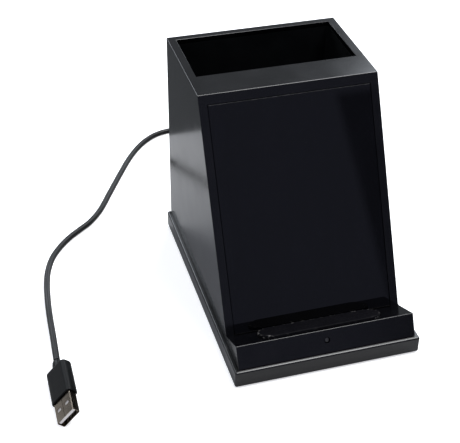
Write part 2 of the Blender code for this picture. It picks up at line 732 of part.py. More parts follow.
def build_panel():
    panel = box(
        "front_panel",
        (-PANEL_HALF, 0.0, PANEL_BOTTOM),
        (PANEL_HALF, PANEL_THICKNESS, PANEL_TOP),
        PANEL_ACRYLIC,
        BACKREST,
    )
    round_edges(panel, PANEL_ROUNDING, 1)

    tape_low = PANEL_THICKNESS + FIT
    tape_half = PANEL_HALF - TAPE_MARGIN
    tape_top = PANEL_TOP - TAPE_MARGIN
    tape_bottom = PANEL_BOTTOM + TAPE_MARGIN
    tape = box(
        "panel_tape",
        (-tape_half, tape_low, tape_bottom),
        (tape_half, tape_low + TAPE_THICKNESS, tape_top),
        TAPE_FOAM,
        BACKREST,
    )
    opening = box(
        "tape_opening",
        (-tape_half + TAPE_BAND, 0.0, tape_bottom + TAPE_BAND),
        (tape_half - TAPE_BAND, tape_low + TAPE_THICKNESS + OVERCUT, tape_top - TAPE_BAND),
        parent=BACKREST,
    )
    cut(tape, opening)


def build_ledge_pad():
    middle = LEDGE_DEPTH - PAD_FROM_BACKREST - PAD_DEPTH / 2
    pad = stadium(
        "ledge_pad",
        PAD_LENGTH,
        PAD_DEPTH,
        (0.0, middle, -PAD_SINK),
        (0.0, middle, PAD_THICKNESS - PAD_SINK),
        LIP,
        SILICONE,
    )
    round_edges(pad, PAD_ROUNDING, 2)


def build_indicator():
    flange_front = LIP_WALL + FIT
    flange_back = flange_front + LENS_FLANGE
    flange_radius = LENS_RADIUS + 2 * FIT
    lens_frame = add_empty("lens_frame", on_lean(LIP, 0.0, 0.0, -LENS_BELOW_EDGE))
    lens_frame.rotation_euler = (-LEAN + math.pi / 2, 0.0, 0.0)
    profile = (
        (0.0, 0.0),
        (LENS_RADIUS - LENS_CHAMFER, 0.0),
        (LENS_RADIUS, -LENS_CHAMFER),
        (LENS_RADIUS, -flange_front),
        (flange_radius, -flange_front),
        (flange_radius, -flange_back),
        (0.0, -flange_back),
    )
    turned("indicator_lens", profile, LENS_PLASTIC, lens_frame)

    led_front = flange_back + FIT
    led_back = led_front + LED_THICKNESS
    box(
        "status_led",
        (-LED_SIZE / 2, led_front, -LENS_BELOW_EDGE - LED_SIZE / 2),
        (LED_SIZE / 2, led_back, -LENS_BELOW_EDGE + LED_SIZE / 2),
        LED_RESIN,
        LIP,
    )
    board_front = led_back + FIT
    box(
        "indicator_board",
        (-LED_BOARD_WIDTH / 2, board_front, -LENS_BELOW_EDGE - LED_BOARD_HEIGHT / 2),
        (LED_BOARD_WIDTH / 2, board_front + SMALL_BOARD_THICKNESS, -LENS_BELOW_EDGE + LED_BOARD_HEIGHT / 2),
        BOARD_GREEN,
        LIP,
    )
    solder_depth = board_front + SMALL_BOARD_THICKNESS + FIT
    start = on_lean(LIP, 0.0, solder_depth, -LENS_BELOW_EDGE - LED_BOARD_HEIGHT / 4)
    low = (PLINTH_TOP + TRAY_FLOOR_TOP) / 2
    level = BOARD_UNDERSIDE + BOARD_THICKNESS / 2
    turn_down = CORNER_Y - 8.0 * MM
    route = (
        tuple(start),
        (0.0, start.y + 3.0 * MM, start.z - 0.8 * MM),
        (0.0, turn_down, low),
        (0.0, (turn_down + BOARD_Y0) / 2, low),
        (0.0, BOARD_Y0 - 5.0 * MM, level),
        (0.0, BOARD_Y0 - FIT, level),
    )
    tube("indicator_lead", smooth_route(route, WIRE_SPACING), COIL_LEAD_RADIUS, WIRE_PVC, 1)


# ---------------------------------------------------------------- transmitter coil and its holder

def stake_places():
    reach_x = HOLDER_WIDTH / 2 - STAKE_INSET
    reach_z = HOLDER_HEIGHT / 2 - STAKE_INSET
    return [(sx * reach_x, COIL_CENTRE + sz * reach_z) for sz in (-1, 1) for sx in (-1, 1)]


def build_transmitter():
    coil_front = PANEL_THICKNESS + FIT
    coil_back = coil_front + COIL_THICKNESS
    coil_frame = add_empty("coil_frame", on_lean(BACKREST, 0.0, coil_front, COIL_CENTRE))
    coil_frame.rotation_euler = (-LEAN + math.pi / 2, 0.0, 0.0)
    profile = (
        (COIL_OUTER_RADIUS, 0.0),
        (COIL_OUTER_RADIUS, -COIL_THICKNESS),
        (COIL_INNER_RADIUS, -COIL_THICKNESS),
        (COIL_INNER_RADIUS, 0.0),
    )
    turned("transmitter_coil", profile, COPPER, coil_frame, 40)

    ferrite_front = coil_back + FIT
    ferrite_back = ferrite_front + FERRITE_THICKNESS
    ferrite = box(
        "ferrite_sheet",
        (-FERRITE_SIZE / 2, ferrite_front, COIL_CENTRE - FERRITE_SIZE / 2),
        (FERRITE_SIZE / 2, ferrite_back, COIL_CENTRE + FERRITE_SIZE / 2),
        FERRITE,
        BACKREST,
    )
    holder_front = BACKREST_WALL + FIT
    holder_back = holder_front + HOLDER_THICKNESS
    holder = box(
        "coil_holder",
        (-HOLDER_WIDTH / 2, holder_front, COIL_CENTRE - HOLDER_HEIGHT / 2),
        (HOLDER_WIDTH / 2, holder_back, COIL_CENTRE + HOLDER_HEIGHT / 2),
        HOLDER_PLASTIC,
        BACKREST,
    )
    notch = box(
        "lead_notch",
        (-NOTCH_WIDTH / 2, 0.0, COIL_CENTRE - HOLDER_HEIGHT / 2 - OVERCUT),
        (NOTCH_WIDTH / 2, holder_back + OVERCUT, COIL_CENTRE - HOLDER_HEIGHT / 2 + NOTCH_HEIGHT),
        parent=BACKREST,
    )
    cut(holder, notch)
    cut(ferrite, notch)
    for i, (x, z) in enumerate(stake_places(), 1):
        hole = cylinder(
            f"stake_hole_{i}",
            STAKE_RADIUS + FIT,
            (x, 0.0, z),
            (x, holder_back + OVERCUT, z),
            parent=BACKREST,
            axis="Y",
        )
        cut(holder, hole)

    for i, side in enumerate((-1, 1), 1):
        x = side * NOTCH_WIDTH / 5
        edge = COIL_CENTRE - COIL_OUTER_RADIUS - 2 * COIL_LEAD_RADIUS
        start = on_lean(BACKREST, x, coil_back - COIL_LEAD_RADIUS, edge)
        through = on_lean(BACKREST, x, holder_back, edge)
        clear = on_lean(BACKREST, x, holder_back + LEAD_CLEARANCE, edge - LEAD_CLEARANCE)
        landing = Vector((x, BOARD_Y1 - BOARD_DEPTH / 4, BOARD_TOP + FIT))
        above = landing + Vector((0.0, 0.0, LEAD_CLEARANCE))
        route = [tuple(place) for place in (start, through, clear, (clear + above) / 2, above, landing)]
        tube(f"coil_lead_{i}", smooth_route(route, WIRE_SPACING), COIL_LEAD_RADIUS, WIRE_PVC, 1)


# ---------------------------------------------------------------- control board

def build_control_board():
    board = box(
        "control_board",
        (-BOARD_WIDTH / 2, BOARD_Y0, BOARD_UNDERSIDE),
        (BOARD_WIDTH / 2, BOARD_Y1, BOARD_TOP),
        BOARD_GREEN,
    )
    for i, (x, y) in enumerate(BOARD_POSTS, 1):
        hole = BOARD_SCREW_RADIUS + FIT
        cut(board, cylinder(f"board_bore_{i}", hole, (x, y, 0.0), (x, y, BOARD_TOP + OVERCUT)))
        seat = BOARD_TOP + FIT
        profile = (
            (0.0, seat + BOARD_HEAD_HEIGHT),
            (BOARD_HEAD_RADIUS * 0.7, seat + BOARD_HEAD_HEIGHT),
            (BOARD_HEAD_RADIUS, seat + BOARD_HEAD_HEIGHT * 0.5),
            (BOARD_HEAD_RADIUS, seat),
            (BOARD_SCREW_RADIUS, seat),
            (BOARD_SCREW_RADIUS, TRAY_FLOOR_TOP + FIT),
            (0.0, TRAY_FLOOR_TOP + FIT),
        )
        turned(f"board_screw_{i}", profile, STEEL, location=(x, y, 0.0))

    base = BOARD_TOP + FIT
    left = -BOARD_WIDTH / 4
    front = BOARD_Y0 + BOARD_DEPTH * 0.3
    box(
        "charger_chip",
        (left - CHIP_SIZE / 2, front - CHIP_SIZE / 2, base),
        (left + CHIP_SIZE / 2, front + CHIP_SIZE / 2, base + CHIP_THICKNESS),
        CHIP_BLACK,
    )
    inductor = box(
        "power_inductor",
        (-left - INDUCTOR_SIZE / 2, front - INDUCTOR_SIZE / 2, base),
        (-left + INDUCTOR_SIZE / 2, front + INDUCTOR_SIZE / 2, base + INDUCTOR_HEIGHT),
        CHIP_BLACK,
    )
    round_edges(inductor, INDUCTOR_ROUNDING, 1)
    back = BOARD_Y1 - BOARD_DEPTH * 0.25
    wide, deep, tall = FILM_CAPACITOR
    for i in range(3):
        x = left + (i - 1) * FILM_CAPACITOR_PITCH
        box(
            f"resonance_capacitor_{i + 1}",
            (x - wide / 2, back - deep / 2, base),
            (x + wide / 2, back + deep / 2, base + tall),
            CAPACITOR_FILM,
        )
    can_top = base + CAN_HEIGHT
    cylinder("filter_capacitor", CAN_RADIUS, (-left, back, base), (-left, back, can_top), CAN_ALUMINIUM)

    start_y = HOUSING_BACK - WALL - RELIEF_FLANGE - FIT * 2
    level = BOARD_UNDERSIDE + BOARD_THICKNESS / 2
    route = (
        (0.0, start_y, CORD_EXIT_HEIGHT),
        (0.0, start_y - 8.0 * MM, CORD_EXIT_HEIGHT),
        (0.0, (start_y + BOARD_Y1) / 2, (CORD_EXIT_HEIGHT + level) / 2),
        (0.0, BOARD_Y1 + 8.0 * MM, level),
        (0.0, BOARD_Y1 + FIT, level),
    )
    tube("input_lead", smooth_route(route, WIRE_SPACING), INPUT_LEAD_RADIUS, PVC, 1)


# ---------------------------------------------------------------- cord, its coil and its tie

def build_strain_relief():
    frame = add_empty("relief_frame", (0.0, HOUSING_BACK, CORD_EXIT_HEIGHT), (-math.pi / 2, 0.0, 0.0))
    outer = FIT + RELIEF_FLANGE
    inner = -WALL - FIT
    profile = [(0.0, RELIEF_LENGTH), (RELIEF_TIP_RADIUS, RELIEF_LENGTH)]
    for ring in range(RELIEF_RINGS):
        share = (ring + 0.5) / RELIEF_RINGS
        radius = RELIEF_TIP_RADIUS + (RELIEF_ROOT_RADIUS - RELIEF_TIP_RADIUS) * share
        low = RELIEF_LENGTH - (RELIEF_LENGTH - outer) * (ring + 1) / RELIEF_RINGS
        profile.append((radius, low + RELIEF_RING_LENGTH))
        profile.append((radius - RELIEF_GROOVE, low + RELIEF_RING_LENGTH * 0.8))
        profile.append((radius - RELIEF_GROOVE, low + RELIEF_RING_LENGTH * 0.3))
        profile.append((radius, low + RELIEF_RING_LENGTH * 0.1))
    profile += [
        (RELIEF_FLANGE_RADIUS - RELIEF_CHAMFER, outer),
        (RELIEF_FLANGE_RADIUS, outer - RELIEF_CHAMFER),
        (RELIEF_FLANGE_RADIUS, FIT),
        (RELIEF_NECK_RADIUS, FIT),
        (RELIEF_NECK_RADIUS, inner),
        (RELIEF_FLANGE_RADIUS - RELIEF_CHAMFER * 2, inner),
        (RELIEF_FLANGE_RADIUS - RELIEF_CHAMFER * 2, inner - RELIEF_FLANGE),
        (0.0, inner - RELIEF_FLANGE),
    ]
    turned("strain_relief", profile, PVC, frame)


def build_cord():
    out_route = [tuple(MM * value for value in point) for point in CORD_OUT_ROUTE]
    far_route = [tuple(MM * value for value in point) for point in CORD_FAR_ROUTE]
    tube("cord_out", smooth_route(out_route, 2.4 * CORD_DIAMETER), CORD_REST, PVC)
    tube("cord_far", smooth_route(far_route, 2.0 * CORD_DIAMETER), CORD_REST, PVC)

    reach = (COIL_ROWS - 1) / 2 * TURN_SPACING + CORD_REST + 0.1 * MM
    low = TIE_THICKNESS + FIT
    high = low + CORD_DIAMETER + (COIL_LAYERS - 1) * TURN_SPACING + 0.1 * MM
    outer = TURN_RADIUS + reach
    inner = TURN_RADIUS - reach
    profile = ((outer, high), (outer, low), (inner, low), (inner, high))
    coil = turned("cord_coil", profile, PVC, steps=32, location=CORD_COIL_CENTRE)
    round_edges(coil, COIL_ROUNDING, 1)

    # The inner side of the tie stands off by the ring's curve across the tie's width
    curve_gap = inner - math.sqrt(inner ** 2 - (TIE_WIDTH / 2) ** 2)
    x0 = CORD_COIL_CENTRE.x + inner - curve_gap - FIT - TIE_THICKNESS
    x1 = CORD_COIL_CENTRE.x + outer + FIT + TIE_THICKNESS
    y0 = CORD_COIL_CENTRE.y - TIE_WIDTH / 2
    y1 = CORD_COIL_CENTRE.y + TIE_WIDTH / 2
    tie = box("coil_tie", (x0, y0, 0.0), (x1, y1, high + FIT + TIE_THICKNESS), PVC)
    inside = box(
        "tie_inside",
        (x0 + TIE_THICKNESS, y0 - OVERCUT, TIE_THICKNESS),
        (x1 - TIE_THICKNESS, y1 + OVERCUT, high + FIT),
    )
    cut(tie, inside)


# ---------------------------------------------------------------- plug

def build_plug():
    frame = add_empty("plug_frame", PLUG_END)
    rise = Matrix.Rotation(PLUG_RISE, 3, "X")
    roll = Matrix.Rotation(PLUG_ROLL, 3, "Y")
    frame.rotation_euler = (Matrix.Rotation(PLUG_TURN, 3, "Z") @ rise @ roll).to_euler()

    grip_end = SHELL_SHOWS + GRIP_LENGTH
    shell_end = SHELL_SHOWS + SHELL_INSIDE_GRIP
    grip = box(
        "plug_grip",
        (-GRIP_WIDTH / 2, SHELL_SHOWS, -GRIP_HEIGHT / 2),
        (GRIP_WIDTH / 2, grip_end, GRIP_HEIGHT / 2),
        PVC,
        frame,
    )
    round_edges(grip, GRIP_ROUNDING, 3)
    neck = cylinder(
        "plug_neck",
        GRIP_NECK_RADIUS,
        (0.0, grip_end - GRIP_ROUNDING, 0.0),
        (0.0, grip_end + GRIP_NECK_LENGTH, 0.0),
        parent=frame,
        axis="Y",
    )
    join(grip, neck)
    pocket = box(
        "grip_pocket",
        (-SHELL_WIDTH / 2 - FIT, SHELL_SHOWS - OVERCUT, -SHELL_HEIGHT / 2 - FIT),
        (SHELL_WIDTH / 2 + FIT, shell_end + FIT, SHELL_HEIGHT / 2 + FIT),
        parent=frame,
    )
    cut(grip, pocket)

    shell = box(
        "plug_shell",
        (-SHELL_WIDTH / 2, 0.0, -SHELL_HEIGHT / 2),
        (SHELL_WIDTH / 2, shell_end, SHELL_HEIGHT / 2),
        PLUG_STEEL,
        frame,
    )
    round_edges(shell, SHELL_ROUNDING, 1)
    bore = box(
        "shell_bore",
        (-SHELL_WIDTH / 2 + SHELL_WALL, -OVERCUT, -SHELL_HEIGHT / 2 + SHELL_WALL),
        (SHELL_WIDTH / 2 - SHELL_WALL, shell_end - SHELL_WALL, SHELL_HEIGHT / 2 - SHELL_WALL),
        parent=frame,
    )
    cut(shell, bore)
    for i, side in enumerate((-1, 1), 1):
        wide, deep = SHELL_WINDOW
        x = side * SHELL_WINDOW_OFFSET
        window = box(
            f"shell_window_{i}",
            (x - wide / 2, SHELL_WINDOW_FROM_END, -SHELL_HEIGHT),
            (x + wide / 2, SHELL_WINDOW_FROM_END + deep, SHELL_HEIGHT),
            parent=frame,
        )
        cut(shell, window)

    # The tongue lies against the shell's seamed face, which is the upper one here
    top = SHELL_HEIGHT / 2 - SHELL_WALL - FIT
    box(
        "plug_tongue",
        (-TONGUE_WIDTH / 2, TONGUE_SETBACK, top - TONGUE_HEIGHT),
        (TONGUE_WIDTH / 2, shell_end - SHELL_WALL - FIT, top),
        TONGUE_PLASTIC,
        frame,
    )


build_plinth()
build_feet()
build_case_screws()
build_housing()
build_pen_cup()
build_panel()
build_ledge_pad()
build_indicator()
build_transmitter()
build_control_board()
build_strain_relief()
build_cord()
build_plug()
bpy.context.view_layer.update()
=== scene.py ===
"""A black wireless charging stand with a pen cup, its cord and its plug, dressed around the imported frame.

Frame: +X to the stand's right as seen from the front, +Y to the back, +Z up. The origin is under the
middle of the plinth, on the table. Sizes are in metres.
"""

import json
import logging
import math
from abc import ABC, abstractmethod
from collections.abc import Callable, Iterable, Sequence
from dataclasses import dataclass, field
from enum import Enum

import bmesh
import bpy
from mathutils import Euler, Matrix, Vector


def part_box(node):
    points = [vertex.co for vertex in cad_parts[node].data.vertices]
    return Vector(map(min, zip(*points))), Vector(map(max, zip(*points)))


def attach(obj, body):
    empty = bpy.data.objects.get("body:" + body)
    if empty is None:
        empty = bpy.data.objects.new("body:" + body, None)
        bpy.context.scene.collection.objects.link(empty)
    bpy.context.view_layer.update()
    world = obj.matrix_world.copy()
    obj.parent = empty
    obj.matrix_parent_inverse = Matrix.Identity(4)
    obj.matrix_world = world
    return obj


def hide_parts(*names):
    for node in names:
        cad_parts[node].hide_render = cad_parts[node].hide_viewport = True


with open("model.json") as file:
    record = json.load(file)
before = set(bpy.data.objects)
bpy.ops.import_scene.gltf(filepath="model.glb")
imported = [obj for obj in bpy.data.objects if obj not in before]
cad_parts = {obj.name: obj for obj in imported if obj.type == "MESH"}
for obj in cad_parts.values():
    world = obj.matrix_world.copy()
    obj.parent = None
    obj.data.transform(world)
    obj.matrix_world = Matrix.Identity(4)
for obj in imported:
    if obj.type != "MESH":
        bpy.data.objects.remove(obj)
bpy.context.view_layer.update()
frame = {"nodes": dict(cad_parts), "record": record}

LOG = logging.getLogger("charging_stand")

MM = 0.001
GAP = 0.3 * MM                      # air between two moulded pieces
OVER = 5.0 * MM                     # how far a cutter runs past the face it opens
LEAN = math.radians(26.0)           # backrest and lip, from upright
EXIT_HEIGHT = 17.0 * MM             # of the cord where it leaves the back
COIL_MIDDLE = -50.3 * MM            # the transmitter coil's middle, down the lean from the backrest's top
BODY = "root"

Triple = tuple[float, float, float]
Pair = tuple[float, float]


# ---------------------------------------------------------------- the bench: operators used as by hand


class Part(Enum):
    """What an edit-mode selection is made of."""

    VERTS = "VERT"
    EDGES = "EDGE"
    FACES = "FACE"


def deselect_all() -> None:
    """Leave edit mode and leave nothing selected, CAD nodes included."""
    if bpy.context.mode != "OBJECT":
        bpy.ops.object.mode_set(mode="OBJECT")
    bpy.ops.object.select_all(action="DESELECT")


def activate(piece: bpy.types.Object) -> None:
    """Make the piece the only selected object, and the active one.

    Args:
        piece: the object to work on.
    """
    deselect_all()
    piece.select_set(True)
    bpy.context.view_layer.objects.active = piece


class Bench:
    """A piece held open in edit mode inside a with block."""

    def __init__(self, piece: bpy.types.Object) -> None:
        """Take the piece.

        Args:
            piece: the mesh object to shape.
        """
        self.piece = piece

    def __enter__(self) -> "Bench":
        """Open the piece in edit mode."""
        activate(self.piece)
        bpy.ops.object.mode_set(mode="EDIT")
        return self

    def __exit__(self, *_: object) -> None:
        """Close edit mode."""
        bpy.ops.object.mode_set(mode="OBJECT")

    def pick(self, part: Part, wanted: Callable[..., bool]) -> int:
        """Select the elements that pass a test, and nothing else.

        Args:
            part: vertices, edges or faces.
            wanted: a test on a BMesh element, by its place or normal.

        Returns:
            How many elements are selected.
        """
        bpy.ops.mesh.select_mode(type=part.value)
        bpy.ops.mesh.select_all(action="DESELECT")
        mesh = bmesh.from_edit_mesh(self.piece.data)
        pools = {Part.VERTS: mesh.verts, Part.EDGES: mesh.edges, Part.FACES: mesh.faces}
        chosen = [item for item in pools[part] if wanted(item)]
        for item in chosen:
            item.select_set(True)
        mesh.select_flush_mode()
        bmesh.update_edit_mesh(self.piece.data)
        return len(chosen)

    def pick_all(self) -> None:
        """Select the whole mesh."""
        bpy.ops.mesh.select_all(action="SELECT")

    def weld(self, reach: float = 0.01 * MM) -> None:
        """Merge doubled vertices over the whole mesh and turn its faces outwards.

        Args:
            reach: how close two vertices are to be merged.
        """
        self.pick_all()
        bpy.ops.mesh.remove_doubles(threshold=reach)
        self.pick_all()
        bpy.ops.mesh.normals_make_consistent(inside=False)

    @staticmethod
    def bevel(width: float, segments: int) -> None:
        """Round the selected edges."""
        bpy.ops.mesh.bevel(offset=width, segments=segments, affect="EDGES", clamp_overlap=True)

    @staticmethod
    def extrude(by: Triple) -> None:
        """Extrude the selected region along a vector."""
        bpy.ops.mesh.extrude_region_move(TRANSFORM_OT_translate={"value": by})

    @staticmethod
    def trace(steps: Iterable[Triple]) -> None:
        """Extrude the selected vertex along each step in turn."""
        for step in steps:
            bpy.ops.mesh.extrude_vertices_move(TRANSFORM_OT_translate={"value": step})


def along_axis(edge: bmesh.types.BMEdge, axis: int) -> bool:
    """Whether an edge runs along X (0), Y (1) or Z (2)."""
    way = edge.verts[1].co - edge.verts[0].co
    return abs(way[axis]) > 0.999 * way.length


def middle(edge: bmesh.types.BMEdge) -> Vector:
    """The point halfway along an edge."""
    return (edge.verts[0].co + edge.verts[1].co) / 2


def settle(piece: bpy.types.Object, at: Triple = (0.0, 0.0, 0.0), turn: Triple = (0.0, 0.0, 0.0)) -> None:
    """Put a piece that was modelled round the origin in its place, and move that place into its mesh.

    Args:
        piece: the finished mesh object.
        at: where its own origin goes.
        turn: its XYZ rotation.
    """
    activate(piece)
    piece.location = at
    piece.rotation_euler = turn
    bpy.ops.object.transform_apply(location=True, rotation=True, scale=True)


def block(name: str, low: Sequence[float], high: Sequence[float]) -> bpy.types.Object:
    """Start a piece as a block between two corners.

    Args:
        name: the piece's name.
        low: its lowest corner.
        high: its highest corner.

    Returns:
        The new mesh object, with its place in its mesh.
    """
    deselect_all()
    centre = [(a + b) / 2 for a, b in zip(low, high)]
    bpy.ops.mesh.primitive_cube_add(size=1.0, location=centre)
    piece = bpy.context.object
    piece.name = name
    piece.scale = [b - a for a, b in zip(low, high)]
    bpy.ops.object.transform_apply(location=True, rotation=True, scale=True)
    return piece


def rod(
    name: str, radius: float, low: Sequence[float], high: Sequence[float], sides: int = 32
) -> bpy.types.Object:
    """Start a piece as a round rod from one point to another.

    Args:
        name: the piece's name.
        radius: its radius.
        low: the middle of its first end.
        high: the middle of its other end.
        sides: how many sides stand for the round.

    Returns:
        The new mesh object, with its place in its mesh.
    """
    deselect_all()
    run = Vector(high) - Vector(low)
    bpy.ops.mesh.primitive_cylinder_add(
        radius=radius,
        depth=run.length,
        vertices=sides,
        location=(Vector(low) + Vector(high)) / 2,
        rotation=run.to_track_quat("Z", "Y").to_euler(),
    )
    piece = bpy.context.object
    piece.name = name
    bpy.ops.object.transform_apply(location=True, rotation=True, scale=True)
    return piece


def seed(name: str, start: Triple) -> bpy.types.Object:
    """Start a piece as one vertex, from a plane merged to a point.

    Args:
        name: the piece's name.
        start: where the vertex goes.

    Returns:
        The new mesh object.
    """
    deselect_all()
    bpy.ops.mesh.primitive_plane_add(size=1.0)
    piece = bpy.context.object
    piece.name = name
    with Bench(piece) as bench:
        bench.pick_all()
        bpy.ops.mesh.merge(type="CENTER")
        bench.pick_all()
        bpy.ops.transform.translate(value=start)
    return piece


def turned(name: str, profile: Sequence[Pair], steps: int = 48) -> bpy.types.Object:
    """Turn an open (radius, height) profile about Z. It starts and ends on the axis.

    Args:
        name: the piece's name.
        profile: the profile's corners, in order.
        steps: how many steps make the full turn.

    Returns:
        The new closed mesh object, round the origin.
    """
    piece = seed(name, (profile[0][0], 0.0, profile[0][1]))
    moves = [(b[0] - a[0], 0.0, b[1] - a[1]) for a, b in zip(profile, profile[1:])]
    with Bench(piece) as bench:
        bench.trace(moves)
        bench.pick_all()
        bpy.ops.mesh.spin(steps=steps, angle=math.tau, center=(0.0, 0.0, 0.0), axis=(0.0, 0.0, 1.0))
        bench.weld()
    return piece


def carve(piece: bpy.types.Object, *tools: bpy.types.Object, fuse: bool = False) -> None:
    """Cut tools out of a piece, or join them to it, and throw the tools away.

    Args:
        piece: the piece that is worked on.
        tools: the cutters.
        fuse: join them in place of cutting.
    """
    for tool in tools:
        activate(piece)
        modifier = piece.modifiers.new(tool.name, "BOOLEAN")
        modifier.operation = "UNION" if fuse else "DIFFERENCE"
        modifier.solver = "EXACT"
        modifier.object = tool
        bpy.ops.object.modifier_apply(modifier=modifier.name)
        bpy.data.objects.remove(tool, do_unlink=True)


def finish_shading(piece: bpy.types.Object, angle: float = 40.0) -> None:
    """Shade the rounds smooth, keep flats flat, and set the result in the mesh's own normals.

    Args:
        piece: the finished mesh object.
        angle: the sharpest corner that is still shaded smooth, in degrees.
    """
    activate(piece)
    bpy.ops.object.shade_smooth_by_angle(angle=math.radians(angle))
    weighting = piece.modifiers.new("flats", "WEIGHTED_NORMAL")
    weighting.keep_sharp = True
    bpy.ops.object.modifier_apply(modifier=weighting.name)


def mount(piece: bpy.types.Object, slot: str, *nodes: str) -> bpy.types.Object:
    """Ride the piece on the stand, in place of its CAD nodes.

    Args:
        piece: the finished piece.
        slot: the record's material slot; not used.
        nodes: the CAD nodes that it stands for.

    Returns:
        The same piece.
    """
    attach(piece, BODY)
    if nodes:
        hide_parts(*nodes)
    LOG.info("%s stands for %s", piece.name, ", ".join(nodes) or "no node")
    return piece


# ---------------------------------------------------------------- finishes


class NodeSet:
    """A node tree, with short ways to add to it."""

    def __init__(self, tree: bpy.types.NodeTree) -> None:
        """Take the tree.

        Args:
            tree: a material's or a world's node tree.
        """
        self.tree = tree

    def add(self, kind: str, **settings: object) -> bpy.types.Node:
        """Add a node.

        Args:
            kind: the node's type name.
            settings: its own properties.

        Returns:
            The node.
        """
        node = self.tree.nodes.new(kind)
        for key, value in settings.items():
            setattr(node, key, value)
        return node

    def link(self, source: bpy.types.NodeSocket, target: bpy.types.NodeSocket) -> None:
        """Join two sockets."""
        self.tree.links.new(source, target)

    def coords(
        self, stretch: Triple = (1.0, 1.0, 1.0), turn: Triple = (0.0, 0.0, 0.0), shift: Triple = (0.0, 0.0, 0.0)
    ) -> bpy.types.NodeSocket:
        """The piece's own coordinates, moved, turned and stretched.

        Args:
            stretch: the scale along each axis.
            turn: the XYZ rotation of the pattern.
            shift: the point that becomes the pattern's origin.

        Returns:
            The vector socket.
        """
        source = self.add("ShaderNodeTexCoord").outputs["Object"]
        mapping = self.add("ShaderNodeMapping", vector_type="TEXTURE")
        mapping.inputs["Location"].default_value = shift
        mapping.inputs["Rotation"].default_value = turn
        mapping.inputs["Scale"].default_value = [1.0 / value for value in stretch]
        self.link(source, mapping.inputs["Vector"])
        return mapping.outputs["Vector"]

    def noise(self, vector: bpy.types.NodeSocket, size: float, detail: float = 2.0) -> bpy.types.NodeSocket:
        """A noise pattern.

        Args:
            vector: the coordinates that it is read at.
            size: about how big its lumps are.
            detail: how many finer layers it has.

        Returns:
            The pattern's socket, about 0.3 to 0.7.
        """
        node = self.add("ShaderNodeTexNoise")
        node.inputs["Scale"].default_value = 1.0 / size
        node.inputs["Detail"].default_value = detail
        self.link(vector, node.inputs["Vector"])
        return node.outputs["Fac"]

    def math(self, operation: str, *values: object, clamp: bool = False) -> bpy.types.NodeSocket:
        """A Math node over sockets and plain numbers.

        Args:
            operation: the sum to do.
            values: its inputs, in order.
            clamp: keep the result between 0 and 1.

        Returns:
            The result's socket.
        """
        node = self.add("ShaderNodeMath", operation=operation, use_clamp=clamp)
        for socket, value in zip(node.inputs, values):
            if isinstance(value, bpy.types.NodeSocket):
                self.link(value, socket)
            else:
                socket.default_value = value
        return node.outputs["Value"]

    def fold(self, operation: str, *values: object) -> bpy.types.NodeSocket:
        """Add or multiply several values.

        Args:
            operation: ADD or MULTIPLY.
            values: two or more sockets or numbers.

        Returns:
            The result's socket.
        """
        result = values[0]
        for value in values[1:]:
            result = self.math(operation, result, value)
        return result

    def span(
        self, value: bpy.types.NodeSocket, source: Pair, target: Pair = (0.0, 1.0), smooth: bool = False
    ) -> bpy.types.NodeSocket:
        """Map one range of a value to another, clamped.

        Args:
            value: the socket to map.
            source: the range that it is read over.
            target: the range that it becomes.
            smooth: ease in and out.

        Returns:
            The result's socket.
        """
        node = self.add("ShaderNodeMapRange", interpolation_type="SMOOTHSTEP" if smooth else "LINEAR")
        self.link(value, node.inputs["Value"])
        for name, number in zip(("From Min", "From Max", "To Min", "To Max"), (*source, *target)):
            node.inputs[name].default_value = number
        return node.outputs["Result"]

    def blend(self, share: bpy.types.NodeSocket, first: object, second: object) -> bpy.types.NodeSocket:
        """Mix two colours.

        Args:
            share: how much of the second is taken.
            first: an RGB triple or a socket.
            second: an RGB triple or a socket.

        Returns:
            The mixed colour's socket.
        """
        node = self.add("ShaderNodeMix", data_type="RGBA")
        self.link(share, node.inputs["Factor"])
        for socket, colour in zip((node.inputs[6], node.inputs[7]), (first, second)):
            if isinstance(colour, bpy.types.NodeSocket):
                self.link(colour, socket)
            else:
                socket.default_value = (*colour, 1.0)
        return node.outputs[2]


class Graph(NodeSet):
    """A new material's nodes, which feed its shader."""

    def __init__(self, name: str) -> None:
        """Make the material.

        Args:
            name: the material's name.
        """
        self.material = bpy.data.materials.new(name)
        self.material.use_nodes = True
        super().__init__(self.material.node_tree)
        self.shader = self.tree.nodes["Principled BSDF"]

    def bump(self, height: bpy.types.NodeSocket, depth: float) -> None:
        """Add relief to the shader, over any that it has.

        Args:
            height: the pattern that is raised.
            depth: its real depth.
        """
        node = self.add("ShaderNodeBump")
        node.inputs["Distance"].default_value = depth
        self.link(height, node.inputs["Height"])
        if self.shader.inputs["Normal"].is_linked:
            self.link(self.shader.inputs["Normal"].links[0].from_socket, node.inputs["Normal"])
        self.link(node.outputs["Normal"], self.shader.inputs["Normal"])

    def paint(self, colour: bpy.types.NodeSocket, roughness: bpy.types.NodeSocket) -> None:
        """Feed the shader's colour and roughness."""
        self.link(colour, self.shader.inputs["Base Color"])
        self.link(roughness, self.shader.inputs["Roughness"])


MADE: dict[str, bpy.types.Material] = {}


@dataclass(frozen=True)
class Finish(ABC):
    """A finish that makes one procedural material."""

    name: str

    @abstractmethod
    def fill(self, graph: Graph) -> None:
        """Build the finish's nodes.

        Args:
            graph: the new material's nodes.
        """

    def make(self) -> bpy.types.Material:
        """Make the material, or give back the one already made.

        Returns:
            The material.
        """
        if self.name not in MADE:
            graph = Graph(self.name)
            self.fill(graph)
            MADE[self.name] = graph.material
        return MADE[self.name]

    def dress(self, piece: bpy.types.Object) -> None:
        """Give a piece this finish alone."""
        piece.data.materials.clear()
        piece.data.materials.append(self.make())


